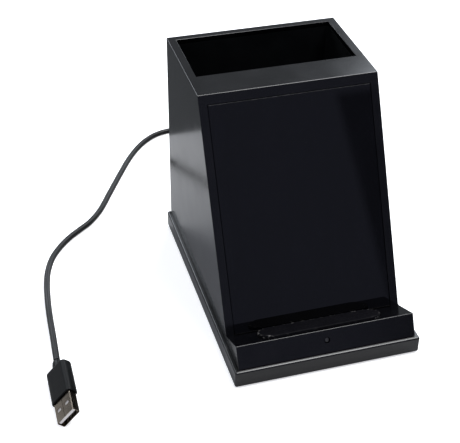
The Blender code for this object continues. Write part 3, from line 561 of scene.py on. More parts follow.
@dataclass(frozen=True)
class Moulded(Finish):
    """Moulded plastic or rubber: a fine tool grain, slow changes of gloss and a little dust."""

    colour: Triple
    worn: Triple
    gloss: Pair                     # roughness, from its glossiest to its dullest places
    grain: float = 0.35 * MM
    relief: float = 0.004 * MM
    cloud: float = 14.0 * MM
    dust: float = 0.0               # how light a speck of dust is
    ior: float = 1.5

    def fill(self, graph: Graph) -> None:
        """Build the finish's nodes.

        Args:
            graph: the new material's nodes.
        """
        place = graph.coords()
        cloud = graph.noise(place, self.cloud, 3.0)
        fine = graph.noise(place, self.grain, 3.0)
        handled = graph.span(cloud, (0.35, 0.68), smooth=True)
        colour = graph.blend(handled, self.colour, self.worn)
        mixed = graph.math("ADD", graph.math("MULTIPLY", cloud, 0.7), graph.math("MULTIPLY", fine, 0.3))
        roughness = graph.span(mixed, (0.36, 0.64), self.gloss)
        if self.dust > 0.0:
            specks = graph.noise(place, 1.1 * MM, 1.0)
            settled = graph.math("MULTIPLY", graph.span(specks, (0.71, 0.78)), graph.span(cloud, (0.42, 0.6)))
            colour = graph.blend(settled, colour, (self.dust,) * 3)
        graph.paint(colour, roughness)
        graph.shader.inputs["IOR"].default_value = self.ior
        graph.bump(fine, self.relief)


@dataclass(frozen=True)
class Polished(Finish):
    """Polished acrylic: deep black, with faint handling smears."""

    colour: Triple
    gloss: Pair
    edge: Triple                    # a point on the upper edge, where dust has settled
    ior: float = 1.49

    def fill(self, graph: Graph) -> None:
        """Build the finish's nodes.

        Args:
            graph: the new material's nodes.
        """
        place = graph.coords()
        parts = graph.add("ShaderNodeSeparateXYZ")
        graph.link(graph.coords(shift=self.edge, turn=(-LEAN, 0.0, 0.0)), parts.inputs["Vector"])
        upper = graph.span(parts.outputs["Z"], (-0.42 * MM, -0.3 * MM))
        dotted = graph.span(graph.noise(place, 1.2 * MM, 2.0), (0.5, 0.62), (0.05, 1.0))
        smear = graph.noise(graph.coords(stretch=(1.0, 0.35, 0.35)), 9.0 * MM, 4.0)
        fine = graph.noise(place, 0.8 * MM, 2.0)
        specks = graph.span(graph.noise(place, 0.7 * MM, 1.0), (0.76, 0.82))
        wiped = graph.blend(graph.span(smear, (0.4, 0.7), smooth=True), self.colour, [c * 1.5 for c in self.colour])
        speckled = graph.blend(graph.math("MULTIPLY", specks, 0.6), wiped, (0.03, 0.03, 0.032))
        colour = graph.blend(graph.math("MULTIPLY", upper, dotted), speckled, (0.02, 0.02, 0.021))
        mixed = graph.math("ADD", graph.math("MULTIPLY", smear, 0.85), graph.math("MULTIPLY", fine, 0.15))
        polish = graph.span(mixed, (0.35, 0.68), self.gloss)
        graph.paint(colour, graph.math("MAXIMUM", polish, graph.math("MULTIPLY", upper, 0.6)))
        graph.shader.inputs["IOR"].default_value = self.ior
        graph.bump(smear, 0.0015 * MM)


@dataclass(frozen=True)
class Metal(Finish):
    """Plated or bare metal with a drawn grain along one direction."""

    colour: Triple
    dull: Triple
    gloss: Pair
    drawn: Triple = (1.0, 1.0, 1.0)     # how much the grain is squeezed along each axis
    relief: float = 0.0015 * MM

    def fill(self, graph: Graph) -> None:
        """Build the finish's nodes.

        Args:
            graph: the new material's nodes.
        """
        drawn = graph.noise(graph.coords(stretch=self.drawn), 0.5 * MM, 3.0)
        cloud = graph.noise(graph.coords(), 3.0 * MM, 2.0)
        colour = graph.blend(graph.span(cloud, (0.35, 0.7), smooth=True), self.colour, self.dull)
        graph.paint(colour, graph.span(drawn, (0.3, 0.7), self.gloss))
        graph.shader.inputs["Metallic"].default_value = 1.0
        graph.bump(drawn, self.relief)


@dataclass(frozen=True)
class Wound(Finish):
    """Enamelled wire wound flat about an axis, with painted shade in the hollows between its turns."""

    colour: Triple
    # painted shade: the darker copper laid in the hollows between turns
    groove: Triple
    centre: Triple
    turn: Triple
    pitch: float

    def fill(self, graph: Graph) -> None:
        """Build the finish's nodes.

        Args:
            graph: the new material's nodes.
        """
        rings = graph.add("ShaderNodeTexWave", wave_type="RINGS", rings_direction="Z")
        rings.inputs["Scale"].default_value = math.pi / 10.0 / self.pitch
        rings.inputs["Distortion"].default_value = 0.0
        graph.link(graph.coords(shift=self.centre, turn=self.turn), rings.inputs["Vector"])
        height = rings.outputs["Fac"]
        cloud = graph.noise(graph.coords(), 4.0 * MM)
        # the rings' low parts take the darker copper: painted shade between the turns
        graph.paint(graph.blend(height, self.groove, self.colour), graph.span(cloud, (0.3, 0.7), (0.28, 0.42)))
        graph.shader.inputs["Metallic"].default_value = 0.9
        graph.bump(height, 0.05 * MM)


@dataclass(frozen=True)
class Woven(Finish):
    """Close hook-and-loop or foam cloth: crossed threads with loose fibres."""

    colour: Triple
    thread: Triple
    pitch: float

    def fill(self, graph: Graph) -> None:
        """Build the finish's nodes.

        Args:
            graph: the new material's nodes.
        """
        place = graph.coords()
        threads = []
        for direction in ("X", "Y", "Z"):
            wave = graph.add("ShaderNodeTexWave", wave_type="BANDS", bands_direction=direction)
            wave.inputs["Scale"].default_value = math.pi / 10.0 / self.pitch
            wave.inputs["Distortion"].default_value = 1.2
            graph.link(place, wave.inputs["Vector"])
            threads.append(wave.outputs["Fac"])
        crossed = graph.fold("MULTIPLY", *threads)
        fuzz = graph.noise(place, 0.4 * MM, 4.0)
        height = graph.math("ADD", graph.math("MULTIPLY", crossed, 0.6), graph.math("MULTIPLY", fuzz, 0.4))
        graph.paint(graph.blend(height, self.colour, self.thread), graph.span(fuzz, (0.3, 0.7), (0.8, 0.98)))
        graph.bump(height, 0.08 * MM)


@dataclass(frozen=True)
class Circuit(Finish):
    """Printed board: solder resist over copper tracks, with tinned pads."""

    resist: Triple
    track: Triple
    pad: Triple

    def fill(self, graph: Graph) -> None:
        """Build the finish's nodes.

        Args:
            graph: the new material's nodes.
        """
        place = graph.coords()
        tracks = graph.add("ShaderNodeTexBrick", offset=0.5, offset_frequency=2)
        tracks.inputs["Scale"].default_value = 260.0
        tracks.inputs["Mortar Size"].default_value = 0.09
        graph.link(place, tracks.inputs["Vector"])
        cells = graph.add("ShaderNodeTexVoronoi", feature="F1")
        cells.inputs["Scale"].default_value = 300.0
        graph.link(place, cells.inputs["Vector"])
        dots = graph.span(cells.outputs["Distance"], (0.16, 0.2), (1.0, 0.0))
        base = graph.blend(tracks.outputs["Fac"], self.resist, self.track)
        fine = graph.noise(place, 0.5 * MM)
        graph.paint(graph.blend(dots, base, self.pad), graph.span(fine, (0.3, 0.7), (0.3, 0.5)))
        graph.bump(tracks.outputs["Fac"], 0.03 * MM)


@dataclass(frozen=True)
class DustyPad(Finish):
    """Matt silicone whose rim has caught dust and lint."""

    colour: Triple
    film: Triple
    lint: Triple
    centre: Triple                  # the pad's middle, on its upper face
    arm: float                      # half the straight length of its outline
    radius: float                   # its round ends

    def fill(self, graph: Graph) -> None:
        """Build the finish's nodes.

        Args:
            graph: the new material's nodes.
        """
        place = graph.coords()
        flat = graph.coords(shift=self.centre, turn=(-LEAN, 0.0, 0.0))
        parts = graph.add("ShaderNodeSeparateXYZ")
        graph.link(flat, parts.inputs["Vector"])
        aside = graph.math("ABSOLUTE", parts.outputs["X"])
        beyond = graph.math("MAXIMUM", graph.math("SUBTRACT", aside, self.arm), 0.0)
        across = graph.math("POWER", parts.outputs["Y"], 2.0)
        reach = graph.math("SQRT", graph.math("ADD", graph.math("POWER", beyond, 2.0), across))
        rim = graph.span(reach, (self.radius - 1.3 * MM, self.radius - 0.35 * MM), smooth=True)
        lumps = graph.noise(place, 1.4 * MM, 4.0)
        patches = graph.noise(place, 7.0 * MM, 2.0)
        at_back = graph.span(parts.outputs["Y"], (0.0, 4.0 * MM), (0.06, 1.0))
        settled = graph.math("MAXIMUM", at_back, graph.span(beyond, (0.0, 4.0 * MM)))
        clumps = graph.span(lumps, (0.54, 0.63))
        caught = graph.fold("MULTIPLY", rim, settled, clumps, graph.span(patches, (0.3, 0.6), (0.35, 1.0)))
        strewn = graph.span(graph.noise(place, 0.6 * MM, 1.0), (0.77, 0.84))
        filmed = graph.blend(graph.span(patches, (0.35, 0.7), smooth=True), self.colour, self.film)
        dusted = graph.blend(graph.math("MULTIPLY", strewn, 0.5), filmed, self.lint)
        colour = graph.blend(caught, dusted, self.lint)
        graph.paint(colour, graph.span(lumps, (0.3, 0.7), (0.5, 0.72)))
        graph.shader.inputs["IOR"].default_value = 1.16
        graph.bump(lumps, 0.02 * MM)


HOUSING_ABS = Moulded("housing_finish", (0.0009, 0.0009, 0.0012), (0.0016, 0.0016, 0.002), (0.12, 0.18))
PLINTH_ABS = Moulded("plinth_finish", (0.0018, 0.0018, 0.0021), (0.003, 0.003, 0.0034), (0.16, 0.24), dust=0.03)
CUP_ABS = Moulded(
    "cup_finish", (0.0022, 0.0027, 0.003), (0.0032, 0.0038, 0.0042), (0.55, 0.7), 0.6 * MM, 0.01 * MM, ior=1.2
)
LENS = Moulded("lens_finish", (0.015, 0.015, 0.018), (0.024, 0.024, 0.027), (0.3, 0.45), cloud=1.5 * MM)
FOOT_RUBBER = Moulded("foot_finish", (0.018, 0.018, 0.018), (0.03, 0.03, 0.03), (0.75, 0.92), 0.5 * MM, 0.03 * MM)
CORD_PVC = Moulded(
    "cord_finish", (0.0026, 0.0026, 0.003), (0.0044, 0.0044, 0.005), (0.38, 0.5), 0.5 * MM, 0.01 * MM, ior=1.37
)
GRIP_PVC = Moulded(
    "grip_finish", (0.0021, 0.0025, 0.0028), (0.0034, 0.0039, 0.0043), (0.36, 0.5), 0.45 * MM, 0.02 * MM, ior=1.26
)
WIRE_PVC = Moulded("wire_finish", (0.5, 0.035, 0.03), (0.6, 0.06, 0.05), (0.35, 0.5))
FERRITE = Moulded("ferrite_finish", (0.04, 0.04, 0.045), (0.06, 0.06, 0.065), (0.45, 0.65), 0.7 * MM, 0.02 * MM)
HOLDER = Moulded("holder_finish", (0.62, 0.62, 0.58), (0.7, 0.7, 0.67), (0.4, 0.55))
CHIP = Moulded("chip_finish", (0.012, 0.012, 0.012), (0.02, 0.02, 0.02), (0.45, 0.6), 0.3 * MM)
FILM = Moulded("film_finish", (0.35, 0.06, 0.04), (0.45, 0.1, 0.07), (0.25, 0.4))
RESIN = Moulded("resin_finish", (0.78, 0.78, 0.68), (0.86, 0.86, 0.78), (0.12, 0.25))
CARRIER = Moulded("carrier_finish", (0.5, 0.48, 0.47), (0.56, 0.54, 0.53), (0.35, 0.5))
ZINC = Metal("zinc_finish", (0.52, 0.52, 0.54), (0.4, 0.4, 0.42), (0.25, 0.42))
CAN = Metal("can_finish", (0.75, 0.76, 0.78), (0.62, 0.63, 0.65), (0.2, 0.35), (1.0, 1.0, 0.2))
NICKEL = Metal(
    "nickel_finish", (0.29, 0.247, 0.2), (0.265, 0.226, 0.182), (0.17, 0.22), (1.0, 0.15, 1.0), 0.0006 * MM
)
TIE_CLOTH = Woven("tie_finish", (0.01, 0.01, 0.011), (0.035, 0.035, 0.038), 0.5 * MM)
FOAM = Woven("foam_finish", (0.02, 0.02, 0.02), (0.06, 0.06, 0.06), 0.7 * MM)
BOARD = Circuit("board_finish", (0.012, 0.12, 0.045), (0.03, 0.22, 0.08), (0.6, 0.6, 0.58))


# ---------------------------------------------------------------- frames on the leaning faces


def on_lean(origin: Triple, x: float, y: float, z: float) -> Vector:
    """World place of a point given on a leaning face: across, into the body, up the lean."""
    return Vector(origin) + Matrix.Rotation(-LEAN, 3, "X") @ Vector((x, y, z))


class Assembly(ABC):
    """A sub-assembly: it builds its meshes, then dresses them."""

    @abstractmethod
    def build(self) -> None:
        """Make the pieces and mount them."""

    @abstractmethod
    def dress(self) -> None:
        """Give each piece its finish."""


# ---------------------------------------------------------------- plinth


@dataclass
class Plinth(Assembly):
    """The shallow base with its feet."""

    front_wall: float = 5.37 * MM   # front face to the tray inside
    back_seat: float = 0.5 * MM     # back face to the housing's
    post_sunk: float = 1.1 * MM     # how far a post runs into the floor
    recess_top: float = 2.7 * MM    # top of a case screw's recess
    rounding: float = 1.0 * MM
    floor: float = 2.2 * MM
    rim: float = 3.8 * MM           # housing wall and the seat inside it
    step: float = 2.2 * MM          # plinth's side to the housing's
    foot_rounding: float = 0.3 * MM
    pieces: list[bpy.types.Object] = field(default_factory=list)

    def build(self) -> None:
        """Make the pieces and mount them."""
        low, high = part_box("plinth")
        shell = block("plinth_shell", low, high)
        with Bench(shell) as bench:
            bench.pick(Part.EDGES, lambda edge: True)
            bench.bevel(self.rounding, 5)
        tray_low = (low.x + self.step + self.rim, low.y + self.front_wall, low.z + self.floor)
        tray_high = (high.x - self.step - self.rim, high.y - self.rim - self.back_seat, high.z + OVER)
        carve(shell, block("tray", tray_low, tray_high))
        self.add_posts(shell, low.z + self.floor)
        for number in range(1, 5):
            foot_low, foot_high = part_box(f"foot_{number}")
            spot = (foot_low + foot_high) / 2
            seat = (foot_high.x - foot_low.x) / 2 + GAP
            carve(shell, rod("seat", seat, (spot.x, spot.y, -OVER), (spot.x, spot.y, foot_high.z + GAP), 48))
        finish_shading(shell)
        mount(shell, "plinth_abs", "plinth")
        self.pieces.append(shell)
        for number in range(1, 5):
            self.pieces.append(self.foot(number))

    def add_posts(self, shell: bpy.types.Object, floor: float) -> None:
        """Raise the posts that the housing and the board are screwed to, and bore them.

        Args:
            shell: the plinth's shell.
            floor: the height of its floor, inside.
        """
        posts = (("case", 3.6 * MM, 1.6 * MM, 2.9 * MM), ("board", 2.6 * MM, 1.2 * MM, 0.0))
        for kind, radius, hole, head in posts:
            for number in range(1, 5):
                low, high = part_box(f"{kind}_screw_{number}")
                x, y = (low.x + high.x) / 2, (low.y + high.y) / 2
                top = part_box("plinth")[1].z if kind == "case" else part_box("control_board")[0].z - GAP
                carve(shell, rod("post", radius, (x, y, floor - self.post_sunk), (x, y, top)), fuse=True)
                bottom = -OVER if kind == "case" else floor
                carve(shell, rod("bore", hole, (x, y, bottom), (x, y, top + OVER)))
                if head:
                    carve(shell, rod("recess", head, (x, y, -OVER), (x, y, self.recess_top)))

    def foot(self, number: int) -> bpy.types.Object:
        """Make one foot: a disc with a rounded rim and a shallow dish below.

        Args:
            number: which foot, from 1.

        Returns:
            The mounted foot.
        """
        low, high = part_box(f"foot_{number}")
        radius, tall = (high.x - low.x) / 2, high.z - low.z
        edge = self.foot_rounding
        profile = (
            (0.0, 0.15 * MM),
            (radius * 0.55, 0.15 * MM),
            (radius * 0.68, 0.0),
            (radius - edge, 0.0),
            (radius - edge * 0.3, edge * 0.3),
            (radius, edge),
            (radius, tall),
            (0.0, tall),
        )
        foot = turned(f"foot_pad_{number}", profile)
        settle(foot, ((low.x + high.x) / 2, (low.y + high.y) / 2, low.z))
        finish_shading(foot)
        return mount(foot, "rubber", f"foot_{number}")

    def dress(self) -> None:
        """Give each piece its finish."""
        PLINTH_ABS.dress(self.pieces[0])
        for foot in self.pieces[1:]:
            FOOT_RUBBER.dress(foot)


# ---------------------------------------------------------------- housing


@dataclass
class Housing(Assembly):
    """The moulded body: lip, ledge, backrest, top with the cup's mouth, sides and back."""

    wall: float = 2.2 * MM
    top_wall: float = 2.5 * MM
    backrest_wall: float = 4.5 * MM
    lip_wall: float = 2.4 * MM
    ledge: float = 18.8 * MM
    rounding: float = 0.8 * MM
    lip_rounding: float = 0.25 * MM
    mouth_rounding: float = 0.25 * MM
    side_rim: float = 4.4 * MM
    front_rim: float = 18.6 * MM
    back_rim: float = 4.0 * MM
    lip_setback: float = 1.7 * MM   # plinth's front to the lip's foot
    lip_height: float = 12.4 * MM   # up the lean
    panel_half: float = 42.2 * MM
    panel_from_top: float = 5.0 * MM
    recess_depth: float = 2.5 * MM
    window_half: float = 28.0 * MM
    window_depth: float = 9.5 * MM
    pad_length: float = 65.0 * MM
    pad_depth: float = 15.5 * MM
    pad_from_edge: float = 8.45 * MM    # pad's middle to the ledge's inner corner
    lens_drop: float = 5.5 * MM     # down the lip to the indicator
    port_radius: float = 1.5 * MM
    outlet_radius: float = 3.6 * MM
    boss_radius: float = 3.6 * MM
    pilot_radius: float = 1.6 * MM
    boss_top: float = 20.5 * MM
    stake_across: float = 32.0 * MM
    stake_up: float = 29.0 * MM
    stake_sunk: float = 0.55 * MM
    cup_wall: float = 1.5 * MM
    cup_floor: float = 1.6 * MM
    piece: bpy.types.Object | None = None
    cup: bpy.types.Object | None = None

    def __post_init__(self) -> None:
        """Work out the side view's corners from the CAD housing."""
        low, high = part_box("housing")
        self.half = high.x
        self.foot_z, self.top_z, self.back_y = low.z, high.z, high.y
        plinth_low, plinth_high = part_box("plinth")
        edge_z = plinth_high.z + self.lip_height * math.cos(LEAN)
        edge_y = plinth_low.y + self.lip_setback + self.lip_height * math.sin(LEAN)
        self.lip_edge: Pair = (edge_y, edge_z)
        corner_y = edge_y + self.ledge * math.cos(LEAN)
        corner_z = edge_z - self.ledge * math.sin(LEAN)
        self.corner: Pair = (corner_y, corner_z)
        self.brow: Pair = (corner_y + (self.top_z - corner_z) * math.tan(LEAN), self.top_z)
        self.backrest_length = (self.top_z - corner_z) / math.cos(LEAN)
        self.backrest_at: Triple = (0.0, *self.brow)
        self.lip_at: Triple = (0.0, *self.lip_edge)
        self.mouth_low = (-self.half + self.side_rim, self.brow[0] + self.front_rim)
        self.mouth_high = (self.half - self.side_rim, self.back_y - self.back_rim)

    def outline(self) -> list[Pair]:
        """The side view's corners, clockwise from the lip's foot."""
        foot = (self.lip_edge[0] - (self.lip_edge[1] - self.foot_z) * math.tan(LEAN), self.foot_z)
        return [foot, self.lip_edge, self.corner, self.brow, (self.back_y, self.top_z), (self.back_y, self.foot_z)]

    def prism(self, name: str, outline: Sequence[Pair], half: float) -> bpy.types.Object:
        """Draw a side view point by point, fill it and extrude it across.

        Args:
            name: the piece's name.
            outline: (Y, Z) corners in order.
            half: half its width.

        Returns:
            The closed prism.
        """
        piece = seed(name, (-half, *outline[0]))
        loop = [*outline[1:], outline[0]]
        steps = [(0.0, b[0] - a[0], b[1] - a[1]) for a, b in zip(outline, loop)]
        with Bench(piece) as bench:
            bench.trace(steps)
            bench.pick_all()
            bpy.ops.mesh.remove_doubles(threshold=0.01 * MM)
            bench.pick_all()
            bpy.ops.mesh.edge_face_add()
            bench.extrude((2 * half, 0.0, 0.0))
            bench.weld()
        return piece

    def hollow_outline(self) -> list[Pair]:
        """Move the outline in by each wall, and out past the open underside.

        Returns:
            The hollow's (Y, Z) corners, in the outline's order.
        """
        walls = (self.lip_wall, self.lip_wall, self.backrest_wall, self.top_wall, self.wall, -OVER)
        outline = [Vector(corner) for corner in self.outline()]
        lines = []
        for start, end, wall in zip(outline, [*outline[1:], outline[0]], walls):
            along = (end - start).normalized()
            lines.append((start + Vector((along.y, -along.x)) * wall, along))
        corners = []
        for (origin, along), (other, heading) in zip([lines[-1], *lines[:-1]], lines):
            gap = other - origin
            reach = (gap.x * heading.y - gap.y * heading.x) / (along.x * heading.y - along.y * heading.x)
            corners.append(tuple(origin + along * reach))
        return corners

    def build(self) -> None:
        """Make the pieces and mount them."""
        shell = self.prism("housing_shell", self.outline(), self.half)
        concave = Vector((0.0, *self.corner))
        lip_edge = Vector((0.0, *self.lip_edge))
        with Bench(shell) as bench:
            bench.pick(Part.EDGES, lambda edge: (middle(edge).yz - lip_edge.yz).length < 0.1 * MM)
            bench.bevel(self.lip_rounding, 4)
            bench.pick(
                Part.EDGES,
                lambda edge: not self.at_seam(edge)
                and (middle(edge).yz - concave.yz).length > 0.1 * MM
                and not (along_axis(edge, 0) and (middle(edge).yz - lip_edge.yz).length < 2 * self.lip_rounding),
            )
            bench.bevel(self.rounding, 5)
        carve(shell, self.prism("hollow", self.hollow_outline(), self.half - self.wall))
        self.open_up(shell)
        self.add_bosses(shell)
        with Bench(shell) as bench:
            bench.pick(Part.EDGES, self.at_mouth)
            bench.bevel(self.mouth_rounding, 3)
        finish_shading(shell)
        self.piece = mount(shell, "black_abs", "housing")
        self.build_cup()

    def at_seam(self, edge: bmesh.types.BMEdge) -> bool:
        """Whether an edge lies round the housing's foot."""
        return max(abs(vertex.co.z - self.foot_z) for vertex in edge.verts) < 0.05 * MM

    def at_mouth(self, edge: bmesh.types.BMEdge) -> bool:
        """Whether an edge is one of the four round the cup's mouth.

        Args:
            edge: an edge of the shell.

        Returns:
            Whether it borders the mouth, in the top face.
        """
        if max(abs(vertex.co.z - self.top_z) for vertex in edge.verts) > 0.01 * MM:
            return False
        spot = middle(edge)
        inside_x = self.mouth_low[0] - 0.1 * MM < spot.x < self.mouth_high[0] + 0.1 * MM
        inside_y = self.mouth_low[1] - 0.1 * MM < spot.y < self.mouth_high[1] + 0.1 * MM
        return inside_x and inside_y

    def open_up(self, shell: bpy.types.Object) -> None:
        """Cut the mouth, the panel's recess, the coil's window, the pad's seat and the two round holes.

        Args:
            shell: the hollow shell.
        """
        mouth = block(
            "mouth",
            (*self.mouth_low, self.top_z - self.top_wall - OVER),
            (*self.mouth_high, self.top_z + OVER),
        )
        recess_half = self.panel_half + GAP
        recess = block(
            "recess",
            (-recess_half, -OVER, -self.backrest_length),
            (recess_half, self.recess_depth, -self.panel_from_top),
        )
        window = block(
            "window",
            (-self.window_half, 0.0, COIL_MIDDLE - self.window_half),
            (self.window_half, self.window_depth, COIL_MIDDLE + self.window_half),
        )
        for tool in (recess, window):
            settle(tool, self.backrest_at, (-LEAN, 0.0, 0.0))
        seat = stadium("pad_seat", self.pad_length + 2 * GAP, self.pad_depth + 2 * GAP, -0.5 * MM, OVER)
        settle(seat, tuple(self.pad_middle()), (-LEAN, 0.0, 0.0))
        through = 2.5 * MM
        port_start = on_lean(self.lip_at, 0.0, -OVER, -self.lens_drop)
        port_end = on_lean(self.lip_at, 0.0, self.lip_wall + through, -self.lens_drop)
        port = rod("port", self.port_radius, port_start, port_end, 48)
        outlet = rod(
            "outlet",
            self.outlet_radius,
            (0.0, self.back_y - self.wall - through, EXIT_HEIGHT),
            (0.0, self.back_y + OVER, EXIT_HEIGHT),
            48,
        )
        carve(shell, mouth, recess, window, seat, port, outlet)

    def pad_middle(self) -> Vector:
        """The middle of the pad, on the ledge's surface."""
        return on_lean(self.lip_at, 0.0, self.ledge - self.pad_from_edge, 0.0)

    def add_bosses(self, shell: bpy.types.Object) -> None:
        """Hang the four screw bosses inside, and set the coil holder's stakes.

        Args:
            shell: the hollow shell.
        """
        for number in range(1, 5):
            low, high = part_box(f"case_screw_{number}")
            x, y = (low.x + high.x) / 2, (low.y + high.y) / 2
            carve(shell, rod("boss", self.boss_radius, (x, y, self.foot_z), (x, y, self.boss_top)), fuse=True)
            carve(shell, rod("pilot", self.pilot_radius, (x, y, self.foot_z - OVER), (x, y, high.z + GAP)))
        for across in (-self.stake_across, self.stake_across):
            for up in (COIL_MIDDLE - self.stake_up, COIL_MIDDLE + self.stake_up):
                profile = (
                    (0.0, 0.0),
                    (1.3 * MM, 0.0),
                    (1.3 * MM, 3.15 * MM),
                    (2.2 * MM, 3.15 * MM),
                    (1.9 * MM, 3.9 * MM),
                    (1.0 * MM, 4.15 * MM),
                    (0.0, 4.15 * MM),
                )
                stake = turned("stake", profile, 32)
                spot = on_lean(self.backrest_at, across, self.backrest_wall - self.stake_sunk, up)
                settle(stake, tuple(spot), (-LEAN - math.pi / 2, 0.0, 0.0))
                carve(shell, stake, fuse=True)

    def build_cup(self) -> None:
        """Make the cup's lining: a deep tray whose floor is rounded into its walls."""
        low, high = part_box("pen_cup")
        cup = block("pen_cup_lining", low, high)
        thick = self.cup_wall
        with Bench(cup) as bench:
            bench.pick(Part.FACES, lambda face: face.normal.z > 0.9)
            bpy.ops.mesh.inset(thickness=thick)
            bench.extrude((0.0, 0.0, low.z + self.cup_floor - high.z))
            inner_x, inner_y = high.x - thick + 0.1 * MM, high.y - thick + 0.1 * MM
            bench.pick(
                Part.EDGES,
                lambda edge: all(
                    abs(v.co.x) < inner_x and v.co.y < inner_y and v.co.y > low.y + thick - 0.1 * MM
                    for v in edge.verts
                )
                and middle(edge).z < high.z - 0.1 * MM,
            )
            bench.bevel(1.2 * MM, 4)
            bench.pick(
                Part.EDGES,
                lambda edge: along_axis(edge, 2) and abs(middle(edge).x) > high.x - 0.01 * MM,
            )
            bench.bevel(0.8 * MM, 3)
        finish_shading(cup)
        self.cup = mount(cup, "cup_plastic", "pen_cup")

    def dress(self) -> None:
        """Give each piece its finish."""
        HOUSING_ABS.dress(self.piece)
        CUP_ABS.dress(self.cup)


def stadium(name: str, length: float, depth: float, low: float, high: float) -> bpy.types.Object:
    """Make a flat pad with round ends from a disc whose halves are pulled apart.

    Args:
        name: the piece's name.
        length: end to end, along X.
        depth: across, along Y.
        low: the height of its underside.
        high: the height of its upper face.

    Returns:
        The pad, round the origin.
    """
    piece = rod(name, depth / 2, (0.0, 0.0, low), (0.0, 0.0, high), 64)
    arm = (length - depth) / 2
    with Bench(piece) as bench:
        bench.pick_all()
        bpy.ops.transform.rotate(value=math.pi / 64, orient_axis="Z", center_override=(0.0, 0.0, 0.0))
        for side in (-1, 1):
            bench.pick(Part.VERTS, lambda vertex: vertex.co.x * side > 0.0)
            bpy.ops.transform.translate(value=(side * arm, 0.0, 0.0))
    return piece


# ---------------------------------------------------------------- panel, pad and indicator


@dataclass
class Front(Assembly):
    """What shows on the leaning front: the panel, the ledge's pad and the indicator."""

    housing: Housing
    panel_thickness: float = 1.5 * MM
    panel_edge: float = 0.25 * MM
    pad_sunk: float = 0.2 * MM
    pad_proud: float = 1.2 * MM
    pad_edge: float = 0.4 * MM
    lens_radius: float = 1.2 * MM
    lens_flange: float = 0.6 * MM
    panel: bpy.types.Object | None = None
    pad: bpy.types.Object | None = None
    lens: bpy.types.Object | None = None

    def build(self) -> None:
        """Make the pieces and mount them."""
        length = self.housing.backrest_length
        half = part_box("front_panel")[1].x
        top = -self.housing.panel_from_top - GAP
        panel = block("front_panel_acrylic", (-half, 0.0, -length + GAP), (half, self.panel_thickness, top))
        with Bench(panel) as bench:
            bench.pick(Part.EDGES, lambda edge: True)
            bench.bevel(self.panel_edge, 2)
        settle(panel, self.housing.backrest_at, (-LEAN, 0.0, 0.0))
        finish_shading(panel)
        self.panel = mount(panel, "panel_acrylic", "front_panel")

        pad = stadium(
            "ledge_pad_silicone", self.housing.pad_length, self.housing.pad_depth, -self.pad_sunk, self.pad_proud
        )
        with Bench(pad) as bench:
            bench.pick(Part.FACES, lambda face: face.normal.z > 0.9)
            bpy.ops.mesh.region_to_loop()
            bench.bevel(self.pad_edge, 4)
        settle(pad, tuple(self.housing.pad_middle()), (-LEAN, 0.0, 0.0))
        finish_shading(pad, 60.0)
        self.pad = mount(pad, "silicone", "ledge_pad")

        self.build_lens()

    def build_lens(self) -> None:
        """Make the indicator's lens: a low dome on a stem with a flange behind the wall."""
        radius = self.lens_radius
        profile = (
            (0.0, -0.45 * MM),
            (radius * 0.55, -0.47 * MM),
            (radius * 0.82, -0.53 * MM),
            (radius * 0.95, -0.64 * MM),
            (radius, -0.8 * MM),
            (radius, -2.7 * MM),
            (radius + self.lens_flange, -2.7 * MM),
            (radius + self.lens_flange, -3.5 * MM),
            (0.0, -3.5 * MM),
        )
        lens = turned("indicator_lens_dome", profile, 40)
        spot = on_lean(self.housing.lip_at, 0.0, 0.0, -self.housing.lens_drop)
        settle(lens, tuple(spot), (-LEAN + math.pi / 2, 0.0, 0.0))
        finish_shading(lens)
        self.lens = mount(lens, "lens_plastic", "indicator_lens")

    def dress(self) -> None:
        """Give each piece its finish."""
        housing = self.housing
        edge = tuple(on_lean(housing.backrest_at, 0.0, 0.0, -housing.panel_from_top - GAP))
        Polished("panel_finish", (0.0006, 0.0006, 0.0009), (0.018, 0.034), edge).dress(self.panel)
        LENS.dress(self.lens)
        DustyPad(
            "pad_finish",
            (0.0016, 0.0015, 0.0026),
            (0.0028, 0.0027, 0.004),
            (0.15, 0.145, 0.14),
            tuple(housing.pad_middle()),
            (housing.pad_length - housing.pad_depth) / 2,
            housing.pad_depth / 2,
        ).dress(self.pad)


# ---------------------------------------------------------------- cord and its coil


def ease(share: float) -> float:
    """A smooth step from 0 to 1."""
    share = min(1.0, max(0.0, share))
    return share * share * (3.0 - 2.0 * share)


